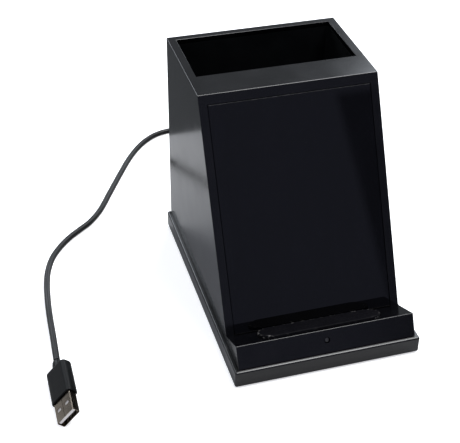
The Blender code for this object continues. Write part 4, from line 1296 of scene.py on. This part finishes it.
@dataclass
class Cord(Assembly):
    """The whole cord as one line: out of the relief, through its coil, and away to the plug."""

    diameter: float = 3.4 * MM
    centre: Triple = (24.0 * MM, 150.0 * MM, 0.0)
    turn_radius: float = 20.4 * MM
    spacing: float = 3.5 * MM
    lowest: float = 2.6 * MM
    turns: int = 5
    sampling: float = 1.3 * MM      # from one point of the finished line to the next
    out: tuple[Triple, ...] = (
        (0.0, 85.6, 17.0), (0.0, 88.6, 17.0), (0.0, 92.0, 16.6), (0.0, 98.0, 14.6), (0.0, 105.0, 10.6),
        (0.0, 112.0, 6.2), (0.0, 119.0, 3.2), (0.0, 126.0, 2.1), (0.1, 131.0, 1.9), (0.1, 135.0, 2.0),
        (0.1, 141.0, 2.3),
    )
    away: tuple[Triple, ...] = (
        (-0.5, 154.7, 5.9), (-2.4, 159.9, 5.2), (-4.8, 163.5, 4.0), (-8.5, 167.0, 2.8), (-13.5, 169.7, 2.15),
        (-19.0, 170.9, 1.8), (-25.0, 170.8, 1.72), (-31.4, 169.3, 1.7), (-38.0, 165.7, 1.7), (-46.2, 158.3, 1.7),
        (-55.5, 146.0, 1.7), (-65.6, 128.7, 1.7), (-75.7, 110.4, 1.7), (-85.2, 93.4, 1.7), (-93.1, 83.4, 1.7),
        (-100.0, 77.6, 1.7), (-106.7, 72.0, 1.7), (-113.6, 64.4, 1.7), (-119.6, 55.2, 1.7), (-123.9, 43.7, 1.7),
        (-126.2, 32.2, 1.7), (-127.7, 19.4, 2.0), (-128.5, 9.7, 2.8), (-129.1, 0.1, 4.1), (-129.6, -10.0, 5.7),
        (-130.1, -19.5, 7.0), (-130.6, -28.4, 7.8), (-130.98, -35.6, 8.01),
    )
    piece: bpy.types.Object | None = None

    def slot_place(self, slot: float) -> Pair:
        """Radius and height of a place in the coil's stack: out to in below, then in to out above.

        Args:
            slot: a place from 0 to 5, or between two of them.

        Returns:
            The radius about the coil's centre and the height over the table.
        """
        rows = (1, 0, -1, -1, 0, 1)
        layers = (0, 0, 0, 1, 1, 1)
        first = min(int(slot), len(rows) - 2)
        share = slot - first
        row = rows[first] + (rows[first + 1] - rows[first]) * share
        layer = layers[first] + (layers[first + 1] - layers[first]) * share
        return self.turn_radius + row * self.spacing, self.lowest + layer * self.spacing

    def coil(self, steps: int = 56) -> list[Triple]:
        """Work out the coil's turns, clockwise from its left side.

        Each turn moves on by one place in the stack, the last turn first, so that no two meet.

        Args:
            steps: how many points make one turn.

        Returns:
            The points of the turns' middle line.
        """
        window = 0.18
        points = []
        for turn in range(self.turns):
            start = 0.05 + (self.turns - 1 - turn) * window
            for step in range(steps):
                share = step / steps
                radius, height = self.slot_place(turn + ease((share - start) / window))
                angle = math.pi - share * math.tau
                points.append((
                    self.centre[0] + radius * math.cos(angle),
                    self.centre[1] + radius * math.sin(angle),
                    height,
                ))
        radius, height = self.slot_place(self.turns)
        points.append((self.centre[0] - radius, self.centre[1], height))
        return points

    def line(self) -> list[Vector]:
        """The whole centre line, evenly sampled through its points.

        Returns:
            The points, from the exit to the plug.
        """
        out = [Vector(point) * MM for point in self.out]
        away = [Vector(point) * MM for point in self.away]
        return sample([*out, *[Vector(point) for point in self.coil()], *away], self.sampling)

    def build(self) -> None:
        """Sweep the cord along its line, make it a mesh and mount it."""
        line = self.line()
        curve = bpy.data.curves.new("cord", "CURVE")
        curve.dimensions = "3D"
        curve.bevel_depth = self.diameter / 2
        curve.bevel_resolution = 6
        curve.use_fill_caps = True
        spline = curve.splines.new("POLY")
        spline.points.add(len(line) - 1)
        for point, place in zip(spline.points, line):
            point.co = (*place, 1.0)
        spline.use_smooth = True
        self.piece = bpy.data.objects.new("cord", curve)
        bpy.context.scene.collection.objects.link(self.piece)
        activate(self.piece)
        bpy.ops.object.convert(target="MESH")
        mount(self.piece, "pvc", "cord_out", "cord_far", "cord_coil")

    def declare(self, *companions: bpy.types.Object) -> None:
        """Log how long the cord is.

        Args:
            companions: the pieces that are on it; not used.
        """
        line = self.line()
        length = sum((b - a).length for a, b in zip(line, line[1:]))
        LOG.info("cord is %.3f m long", length)

    def dress(self) -> None:
        """Give each piece its finish."""
        CORD_PVC.dress(self.piece)


def sample(knots: Sequence[Vector], spacing: float) -> list[Vector]:
    """Points at an even spacing on a smooth curve through the knots.

    Args:
        knots: the points to pass through.
        spacing: the distance from one new point to the next.

    Returns:
        The new points, from the first knot to the last.
    """
    fine = [knots[0]]
    for i in range(len(knots) - 1):
        before = knots[max(i - 1, 0)]
        start, end = knots[i], knots[i + 1]
        after = knots[min(i + 2, len(knots) - 1)]
        run = (end - start).length
        lead = run / max((start - before).length + run, 1e-9)
        tail = run / max((after - end).length + run, 1e-9)
        leave = (end - before) * lead
        arrive = (after - start) * tail
        parts = max(2, math.ceil(run / (spacing / 3)))
        for part in range(1, parts + 1):
            t = part / parts
            fine.append(
                start * (2 * t ** 3 - 3 * t ** 2 + 1)
                + leave * (t ** 3 - 2 * t ** 2 + t)
                + end * (3 * t ** 2 - 2 * t ** 3)
                + arrive * (t ** 3 - t ** 2)
            )
    lengths = [0.0]
    for a, b in zip(fine, fine[1:]):
        lengths.append(lengths[-1] + (b - a).length)
    count = round(lengths[-1] / spacing)
    points, at = [], 0
    for step in range(count + 1):
        goal = lengths[-1] * step / count
        while at < len(lengths) - 2 and lengths[at + 1] < goal:
            at += 1
        share = (goal - lengths[at]) / max(lengths[at + 1] - lengths[at], 1e-12)
        points.append(fine[at].lerp(fine[at + 1], min(1.0, share)))
    return points


@dataclass
class CordFittings(Assembly):
    """The strain relief at the back and the tie round the coil."""

    relief_length: float = 16.0 * MM
    relief_tip: float = 2.35 * MM
    relief_root: float = 3.9 * MM
    flange_radius: float = 5.2 * MM
    flange: float = 1.8 * MM
    neck: float = 3.3 * MM          # through the wall
    behind: float = -2.5 * MM       # the wall's inner face
    rings: int = 4
    tie_thickness: float = 0.6 * MM
    relief: bpy.types.Object | None = None
    tie: bpy.types.Object | None = None

    def build(self) -> None:
        """Make the pieces and mount them."""
        self.build_relief()
        self.build_tie()

    def build_relief(self) -> None:
        """Make the tapered relief: a flange, four grooved rings and a plain tip."""
        tip, root, length = self.relief_tip, self.relief_root, self.relief_length
        flange_radius, flange, behind = self.flange_radius, self.flange, self.behind
        profile: list[Pair] = [(0.0, length), (tip - 0.3 * MM, length), (tip, length - 0.3 * MM)]
        for ring in range(self.rings):
            share = (ring + 0.5) / self.rings
            radius = tip + (root - tip) * share
            low = length - (length - flange) * (ring + 1) / self.rings
            profile += [
                (radius - 0.05 * MM, low + 1.75 * MM),
                (radius, low + 1.45 * MM),
                (radius - 0.25 * MM, low + 1.2 * MM),
                (radius - 0.6 * MM, low + 1.05 * MM),
                (radius - 0.6 * MM, low + 0.55 * MM),
                (radius - 0.2 * MM, low + 0.3 * MM),
                (radius + 0.1 * MM, low + 0.1 * MM),
            ]
        profile += [
            (flange_radius - 0.5 * MM, flange),
            (flange_radius - 0.15 * MM, flange - 0.15 * MM),
            (flange_radius, flange - 0.5 * MM),
            (flange_radius, GAP),
            (self.neck, GAP),
            (self.neck, behind),
            (flange_radius - 1.0 * MM, behind),
            (flange_radius - 1.0 * MM, behind - 1.5 * MM),
            (0.0, behind - 1.5 * MM),
        ]
        relief = turned("strain_relief_sleeve", profile)
        settle(relief, (0.0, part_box("housing")[1].y, EXIT_HEIGHT), (-math.pi / 2, 0.0, 0.0))
        finish_shading(relief)
        self.relief = mount(relief, "pvc", "strain_relief")

    def build_tie(self) -> None:
        """Make the tie: a strap round the turns, with its loose end lying on top."""
        low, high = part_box("coil_tie")
        tie = block("cord_tie", low, high)
        thick = self.tie_thickness
        with Bench(tie) as bench:
            bench.pick(Part.EDGES, lambda edge: along_axis(edge, 1))
            bench.bevel(1.9 * MM, 5)
            bench.pick(Part.FACES, lambda face: abs(face.normal.y) > 0.9)
            bpy.ops.mesh.delete(type="ONLY_FACE")
        activate(tie)
        wall = tie.modifiers.new("wall", "SOLIDIFY")
        wall.thickness = thick
        wall.offset = -1.0
        bpy.ops.object.modifier_apply(modifier=wall.name)
        tail = block(
            "tail",
            (low.x + 2.2 * MM, low.y + 0.3 * MM, high.z - 0.25 * MM),
            (high.x - 4.0 * MM, high.y - 0.3 * MM, high.z + 0.35 * MM),
        )
        with Bench(tail) as bench:
            bench.pick(
                Part.EDGES,
                lambda edge: along_axis(edge, 2) and middle(edge).x < low.x + 3.0 * MM,
            )
            bench.bevel(1.8 * MM, 5)
        carve(tie, tail, fuse=True)
        rim = tie.modifiers.new("rim", "BEVEL")
        rim.width = 0.12 * MM
        rim.segments = 2
        rim.angle_limit = math.radians(50.0)
        activate(tie)
        bpy.ops.object.modifier_apply(modifier=rim.name)
        finish_shading(tie)
        self.tie = mount(tie, "pvc", "coil_tie")

    def dress(self) -> None:
        """Give each piece its finish."""
        CORD_PVC.dress(self.relief)
        TIE_CLOTH.dress(self.tie)


# ---------------------------------------------------------------- plug


@dataclass
class Plug(Assembly):
    """The plug, modelled with its open end at the origin, its cord towards +Y and a wide face up."""

    at: Triple = (-131.55 * MM, -73.5 * MM, 6.2 * MM)
    turn: float = math.radians(-0.9)
    rise: float = math.radians(2.7)
    roll: float = math.radians(-48.4)
    shell_size: Triple = (12.0 * MM, 18.0 * MM, 4.5 * MM)
    shows: float = 12.0 * MM
    grip_size: Triple = (14.2 * MM, 20.8 * MM, 6.6 * MM)
    grip_rounding: float = 2.3 * MM
    neck_radius: float = 2.5 * MM
    neck_length: float = 4.5 * MM
    plate: float = 0.28 * MM
    shell_rounding: float = 0.55 * MM
    window_across: float = 2.9 * MM     # plug's middle to a window's
    window_half: float = 1.3 * MM
    window_run: Pair = (5.5 * MM, 7.4 * MM)     # from the open end
    seam_half: float = 0.13 * MM
    seam_depth: float = 0.2 * MM
    tongue_half: float = 5.3 * MM
    tongue_depth: float = 1.8 * MM
    tongue_gap: float = 0.45 * MM       # outside of the shell to the tongue
    contact_places: tuple[float, ...] = (-3.5 * MM, -1.0 * MM, 1.0 * MM, 3.5 * MM)
    contact_half: float = 0.45 * MM
    groove_half: float = 0.55 * MM
    groove_depth: float = 0.25 * MM
    pieces: dict[str, bpy.types.Object] = field(default_factory=dict)

    def lay(self, piece: bpy.types.Object) -> None:
        """Turn a piece of the plug over and lay it on the table.

        Args:
            piece: a piece modelled about the plug's own origin.
        """
        rise = Matrix.Rotation(self.rise, 3, "X")
        roll = Matrix.Rotation(self.roll, 3, "Y")
        pose = (Matrix.Rotation(self.turn, 3, "Z") @ rise @ roll).to_euler()
        settle(piece, self.at, tuple(pose))

    def build(self) -> None:
        """Make the pieces and mount them."""
        for name, make, slot, node in (
            ("plug_grip_moulding", self.grip, "pvc", "plug_grip"),
            ("plug_shell_plate", self.shell, "plug_steel", "plug_shell"),
            ("plug_contact_carrier", self.carrier, "tongue_plastic", "plug_tongue"),
        ):
            piece = make(name)
            self.lay(piece)
            finish_shading(piece)
            self.pieces[name] = mount(piece, slot, node)
        contacts = self.contacts("plug_contacts")
        self.lay(contacts)
        finish_shading(contacts)
        self.pieces["plug_contacts"] = mount(contacts, "plug_steel")

    def grip(self, name: str) -> bpy.types.Object:
        """Model the grip: long edges well rounded, a crisp front, and a stepped neck for the cord.

        Args:
            name: the piece's name.

        Returns:
            The grip, about the plug's own origin.
        """
        wide, long, tall = self.grip_size
        start, end = self.shows, self.shows + long
        piece = block(name, (-wide / 2, start, -tall / 2), (wide / 2, end, tall / 2))
        with Bench(piece) as bench:
            bench.pick(Part.EDGES, lambda edge: along_axis(edge, 1))
            bench.bevel(self.grip_rounding, 6)
            bench.pick(Part.FACES, lambda face: face.normal.y > 0.9)
            bpy.ops.mesh.region_to_loop()
            bench.bevel(1.3 * MM, 5)
            bench.pick(Part.FACES, lambda face: face.normal.y < -0.9)
            bpy.ops.mesh.region_to_loop()
            bench.bevel(0.35 * MM, 3)
        neck_end = end + self.neck_length
        radius = self.neck_radius
        profile = (
            (0.0, end - 2.0 * MM),
            (radius + 0.35 * MM, end - 2.0 * MM),
            (radius + 0.3 * MM, end + 1.2 * MM),
            (radius + 0.1 * MM, end + 2.6 * MM),
            (radius, neck_end - 1.0 * MM),
            (radius - 0.3 * MM, neck_end - 0.3 * MM),
            (radius - 0.65 * MM, neck_end),
            (0.0, neck_end),
        )
        neck = turned("neck", profile, 40)
        settle(neck, turn=(-math.pi / 2, 0.0, 0.0))
        carve(piece, neck, fuse=True)
        width, length, height = self.shell_size
        pocket = block(
            "pocket",
            (-width / 2 - GAP, start - OVER, -height / 2 - GAP),
            (width / 2 + GAP, length + GAP, height / 2 + GAP),
        )
        carve(piece, pocket)
        return piece

    def shell(self, name: str) -> bpy.types.Object:
        """Model the plated shell: folded plate with an open mouth, a seam and two windows a side.

        Args:
            name: the piece's name.

        Returns:
            The shell, about the plug's own origin.
        """
        width, length, height = self.shell_size
        plate = self.plate
        piece = block(name, (-width / 2, 0.0, -height / 2), (width / 2, length, height / 2))
        with Bench(piece) as bench:
            bench.pick(Part.EDGES, lambda edge: along_axis(edge, 1))
            bench.bevel(self.shell_rounding, 5)
            bench.pick(Part.FACES, lambda face: face.normal.y < -0.9)
            bpy.ops.mesh.inset(thickness=plate)
            bench.extrude((0.0, length - plate, 0.0))
        for side in (-1, 1):
            x = side * self.window_across
            start, end = self.window_run
            window = block("window", (x - self.window_half, start, -height), (x + self.window_half, end, height))
            carve(piece, window)
        seam = block(
            "seam", (-self.seam_half, -OVER, height / 2 - self.seam_depth), (self.seam_half, length + OVER, height)
        )
        carve(piece, seam)
        return piece

    def carrier(self, name: str) -> bpy.types.Object:
        """Model the contact carrier: a tongue with a chamfered nose and four grooves.

        Args:
            name: the piece's name.

        Returns:
            The carrier, about the plug's own origin.
        """
        _, length, height = self.shell_size
        top = height / 2 - self.tongue_gap
        under = top - self.tongue_depth
        piece = block(name, (-self.tongue_half, 0.4 * MM, under), (self.tongue_half, length - 0.7 * MM, top))
        with Bench(piece) as bench:
            bench.pick(Part.EDGES, lambda edge: middle(edge).y < 0.5 * MM and along_axis(edge, 0))
            bench.bevel(0.3 * MM, 2)
        for x in self.contact_places:
            groove = block(
                "groove",
                (x - self.groove_half, 1.2 * MM, under - OVER),
                (x + self.groove_half, 10.0 * MM, under + self.groove_depth),
            )
            carve(piece, groove)
        return piece

    def contacts(self, name: str) -> bpy.types.Object:
        """Model the four contact strips in the carrier's grooves, as one stamped comb.

        Args:
            name: the piece's name.

        Returns:
            The comb, about the plug's own origin.
        """
        height = self.shell_size[2]
        level = height / 2 - self.tongue_gap - self.tongue_depth + self.groove_depth
        top = level - 0.02 * MM
        comb = block(name, (-4.0 * MM, 9.0 * MM, level - self.groove_depth), (4.0 * MM, 9.8 * MM, top))
        for x in self.contact_places:
            strip = block(
                "strip",
                (x - self.contact_half, 1.6 * MM, level - 0.22 * MM),
                (x + self.contact_half, 9.5 * MM, top),
            )
            with Bench(strip) as bench:
                bench.pick(Part.EDGES, lambda edge: middle(edge).y < 1.7 * MM and along_axis(edge, 0))
                bench.bevel(0.08 * MM, 2)
            carve(comb, strip, fuse=True)
        return comb

    def dress(self) -> None:
        """Give each piece its finish."""
        GRIP_PVC.dress(self.pieces["plug_grip_moulding"])
        NICKEL.dress(self.pieces["plug_shell_plate"])
        CARRIER.dress(self.pieces["plug_contact_carrier"])
        NICKEL.dress(self.pieces["plug_contacts"])


# ---------------------------------------------------------------- what stays as the CAD has it


@dataclass
class Inside(Assembly):
    """The works inside the housing, whose CAD shapes stay, with their own finishes."""

    housing: Housing

    def build(self) -> None:
        """Nothing is built: the CAD nodes stay."""

    def dress(self) -> None:
        """Give each node its finish, by its slot."""
        centre = tuple(on_lean(self.housing.backrest_at, 0.0, 1.8 * MM, COIL_MIDDLE))
        face_on = (-LEAN + math.pi / 2, 0.0, 0.0)
        # the second colour is painted shade for the hollows between the coil's turns
        copper = Wound("copper_finish", (0.72, 0.33, 0.16), (0.28, 0.11, 0.05), centre, face_on, 1.0 * MM)
        by_slot = {
            "rubber": FOOT_RUBBER, "steel": ZINC, "tape_foam": FOAM, "led_resin": RESIN, "board_green": BOARD,
            "wire_pvc": WIRE_PVC, "copper": copper, "ferrite": FERRITE, "holder_plastic": HOLDER,
            "chip_black": CHIP, "capacitor_film": FILM, "can_aluminium": CAN, "pvc": CORD_PVC,
            "black_abs": HOUSING_ABS, "plinth_abs": PLINTH_ABS, "panel_acrylic": HOUSING_ABS,
            "cup_plastic": CUP_ABS, "silicone": FOOT_RUBBER, "lens_plastic": LENS, "plug_steel": NICKEL,
            "tongue_plastic": CARRIER,
        }
        for row in frame["record"]["subparts"]:
            node = frame["nodes"][row["node"]]
            by_slot[row["material_slot"]].dress(node)


# ---------------------------------------------------------------- studio


@dataclass
class Studio:
    """The table, the light and the camera."""

    camera_at: Triple = (-0.163607, -0.442459, 0.388213)
    camera_turn: Triple = (53.707, -0.554, -16.209)     # degrees
    lens: float = 86.25
    table_back: float = 0.168       # where the table that shows in the gloss ends, behind
    table_right: float = 0.06       # and to the right
    table_size: Pair = (1.6, 1.0)
    floor_size: float = 8.0
    backdrop_radius: float = 3.9
    glow: float = 0.6               # the floor's own light, which fills its shadows

    def place_camera(self) -> None:
        """Set up the camera."""
        data = bpy.data.cameras.new("camera")
        data.lens = self.lens
        data.sensor_width = 36.0
        data.dof.use_dof = False
        data.clip_start = 0.01
        camera = bpy.data.objects.new("camera", data)
        camera.location = self.camera_at
        camera.rotation_euler = Euler([math.radians(angle) for angle in self.camera_turn])
        bpy.context.scene.collection.objects.link(camera)
        bpy.context.scene.camera = camera

    def lay_floor(self) -> None:
        """Lay the pale floor, the backdrop behind it, and the table top that only reflections see."""
        deselect_all()
        bpy.ops.mesh.primitive_plane_add(size=self.floor_size)
        floor = bpy.context.object
        floor.name = "floor"
        floor.visible_glossy = False
        floor.data.materials.append(self.paper("floor_paper", (0.9, 0.9, 0.9), (0.86, 0.86, 0.86), self.glow))
        deselect_all()
        bpy.ops.mesh.primitive_uv_sphere_add(radius=self.backdrop_radius, segments=48, ring_count=24)
        backdrop = bpy.context.object
        backdrop.name = "backdrop"
        for ray in ("diffuse", "glossy", "transmission", "volume_scatter", "shadow"):
            setattr(backdrop, f"visible_{ray}", False)
        backdrop.data.materials.append(self.paper("backdrop_paper", (0.9, 0.9, 0.9), (0.86, 0.86, 0.86), 1.0))
        deselect_all()
        wide, deep = self.table_size
        spot = (self.table_right - wide / 2, self.table_back - deep / 2, 0.02 * MM)
        bpy.ops.mesh.primitive_plane_add(size=1.0, location=spot)
        table = bpy.context.object
        table.name = "table_top"
        table.scale = (wide, deep, 1.0)
        bpy.ops.object.transform_apply(location=True, rotation=True, scale=True)
        table.visible_camera = False
        table.visible_diffuse = False
        table.visible_shadow = False
        table.data.materials.append(self.paper("table_paper", (0.54, 0.54, 0.54), (0.5, 0.5, 0.5)))

    @staticmethod
    def paper(name: str, first: Triple, second: Triple, glow: float = 0.0) -> bpy.types.Material:
        """A pale matt paper.

        Args:
            name: the material's name.
            first: its colour.
            second: the colour that it drifts to.
            glow: how much light it gives of its own, which fills the shadows on it.

        Returns:
            The material.
        """
        graph = Graph(name)
        graph.shader.inputs["Emission Color"].default_value = (1.0, 1.0, 1.0, 1.0)
        graph.shader.inputs["Emission Strength"].default_value = glow
        graph.material.cycles.emission_sampling = "NONE"
        cloud = graph.noise(graph.coords(), 0.2, 2.0)
        graph.paint(graph.blend(cloud, first, second), graph.span(cloud, (0.3, 0.7), (0.85, 0.95)))
        graph.shader.inputs["Specular IOR Level"].default_value = 0.1
        return graph.material

    def hang_lights(self) -> None:
        """Hang the soft boxes."""
        for name, spot, aim, size, power in (
            ("overhead", (0.38, 0.0, 1.25), (0.0, 0.0, 0.05), (1.25, 0.42), 17.0),
            ("window", (-1.2, -0.5, 1.0), (0.0, 0.0, 0.05), (0.7, 0.7), 4.0),
        ):
            data = bpy.data.lights.new(name, "AREA")
            data.shape = "RECTANGLE"
            data.size, data.size_y = size
            data.energy = power
            light = bpy.data.objects.new(name, data)
            light.visible_camera = False
            light.location = spot
            light.rotation_euler = (Vector(aim) - Vector(spot)).to_track_quat("-Z", "Y").to_euler()
            bpy.context.scene.collection.objects.link(light)


@dataclass
class Room:
    """The room that the gloss reflects: dim walls, a bright side and a pane behind, a dark doorway in front.

    A pair of turns or rises is where an edge starts and ends. In front and behind they are slopes, across
    or up over how far forward or back a direction points, and elsewhere the direction's own X, Y or Z.
    """

    wall_rise: Pair = (-0.1, 0.12)
    wall_light: Pair = (0.13, 0.198)
    ceiling_rise: Pair = (0.8, 0.97)
    ceiling_light: float = 0.5
    behind_turn: Pair = (0.1, 0.75)
    behind_rise: Pair = (0.0, 0.42)
    behind_light: float = 0.1
    glow_turn: Pair = (0.36, 0.46)
    glow_light: float = 1.2
    glare_turn: Pair = (0.45, 0.5)
    glare_light: float = 40.0
    pane_left: Pair = (-0.75, -0.62)
    pane_right: Pair = (-0.06, 0.04)
    pane_foot: Pair = (0.25, 0.42)
    pane_head: Pair = (0.55, 0.65)
    pane_light: float = 6.0
    doorway_left: Pair = (0.38, 0.389)
    doorway_head: Pair = (0.37, 0.379)
    doorway_shade: float = 0.6
    front_turn: Pair = (-0.1, 0.4)
    behind_tint: Triple = (0.94, 1.0, 1.08)
    front_tint: Triple = (0.9, 0.95, 1.32)

    def paint(self) -> None:
        """Paint the world, and show it without a film curve."""
        world = bpy.data.worlds.new("room")
        world.use_nodes = True
        bpy.context.scene.world = world
        room = NodeSet(world.node_tree)
        background = room.tree.nodes["Background"]
        parts = room.add("ShaderNodeSeparateXYZ")
        room.link(room.add("ShaderNodeTexCoord").outputs["Generated"], parts.inputs["Vector"])
        x, y, z = (parts.outputs[axis] for axis in "XYZ")
        front = room.math("MULTIPLY", y, -1.0)
        walls = room.span(z, self.wall_rise, self.wall_light, smooth=True)
        ceiling = room.span(z, self.ceiling_rise, (0.0, self.ceiling_light), smooth=True)
        lit = room.fold("ADD", walls, ceiling, *self.light_behind(room, x, y, z))
        room.link(room.math("MULTIPLY", lit, self.shade_in_front(room, x, front, z)), background.inputs["Strength"])
        tint = room.blend(room.span(front, self.front_turn), self.behind_tint, self.front_tint)
        room.link(tint, background.inputs["Color"])
        bpy.context.scene.view_settings.view_transform = "Standard"

    def light_behind(self, room: NodeSet, *direction: bpy.types.NodeSocket) -> Sequence[bpy.types.NodeSocket]:
        """Light the side behind: a faint wall, a glow that turns to glare at the right, and a pane at the left.

        Args:
            room: the world's nodes.
            direction: the sockets of its X, Y and Z.

        Returns:
            The wall's, the glow's and the pane's light.
        """
        x, y, z = direction
        behind = room.span(y, self.behind_turn, smooth=True)
        rise = room.span(z, self.behind_rise, (0.0, self.behind_light), smooth=True)
        wall = room.math("MULTIPLY", behind, rise)
        side = room.math("DIVIDE", x, room.math("MAXIMUM", y, 0.001))
        glow = room.span(side, self.glow_turn, (0.0, self.glow_light))
        glare = room.span(side, self.glare_turn, (0.0, self.glare_light))
        pane = room.fold(
            "MULTIPLY",
            behind,
            room.span(side, self.pane_left),
            room.span(side, self.pane_right, (self.pane_light, 0.0)),
            room.span(z, self.pane_foot),
            room.span(z, self.pane_head, (1.0, 0.0)),
        )
        return wall, room.math("MULTIPLY", wall, room.math("ADD", glow, glare)), pane

    def shade_in_front(self, room: NodeSet, x: object, front: object, z: object) -> bpy.types.NodeSocket:
        """Darken the doorway, which lies to the right in front.

        Args:
            room: the world's nodes.
            x: the socket of a direction's X.
            front: the socket of how far forward it points.
            z: the socket of its Z.

        Returns:
            The share of the light that is left.
        """
        depth = room.math("MAXIMUM", front, 0.001)
        doorway = room.fold(
            "MULTIPLY",
            room.span(room.math("DIVIDE", x, depth), self.doorway_left),
            room.span(room.math("DIVIDE", z, depth), self.doorway_head, (1.0, 0.0)),
            room.span(front, (0.0, 0.05)),
        )
        return room.math("SUBTRACT", 1.0, room.math("MULTIPLY", doorway, self.doorway_shade))


def main() -> None:
    """Build, dress and report each sub-assembly in order."""
    logging.basicConfig(level=logging.INFO, format="%(name)s: %(message)s")
    studio = Studio()
    studio.place_camera()
    cord = Cord()
    housing = Housing()
    plug = Plug()
    fittings = CordFittings()
    assemblies = (cord, fittings, plug, Plinth(), housing, Front(housing), Inside(housing))
    for assembly in assemblies:
        assembly.build()
        assembly.dress()
        LOG.info("%s is done", type(assembly).__name__)
    cord.declare(fittings.relief, fittings.tie, *plug.pieces.values())
    studio.lay_floor()
    studio.hang_lights()
    Room().paint()


if __name__ == "__main__":
    main()
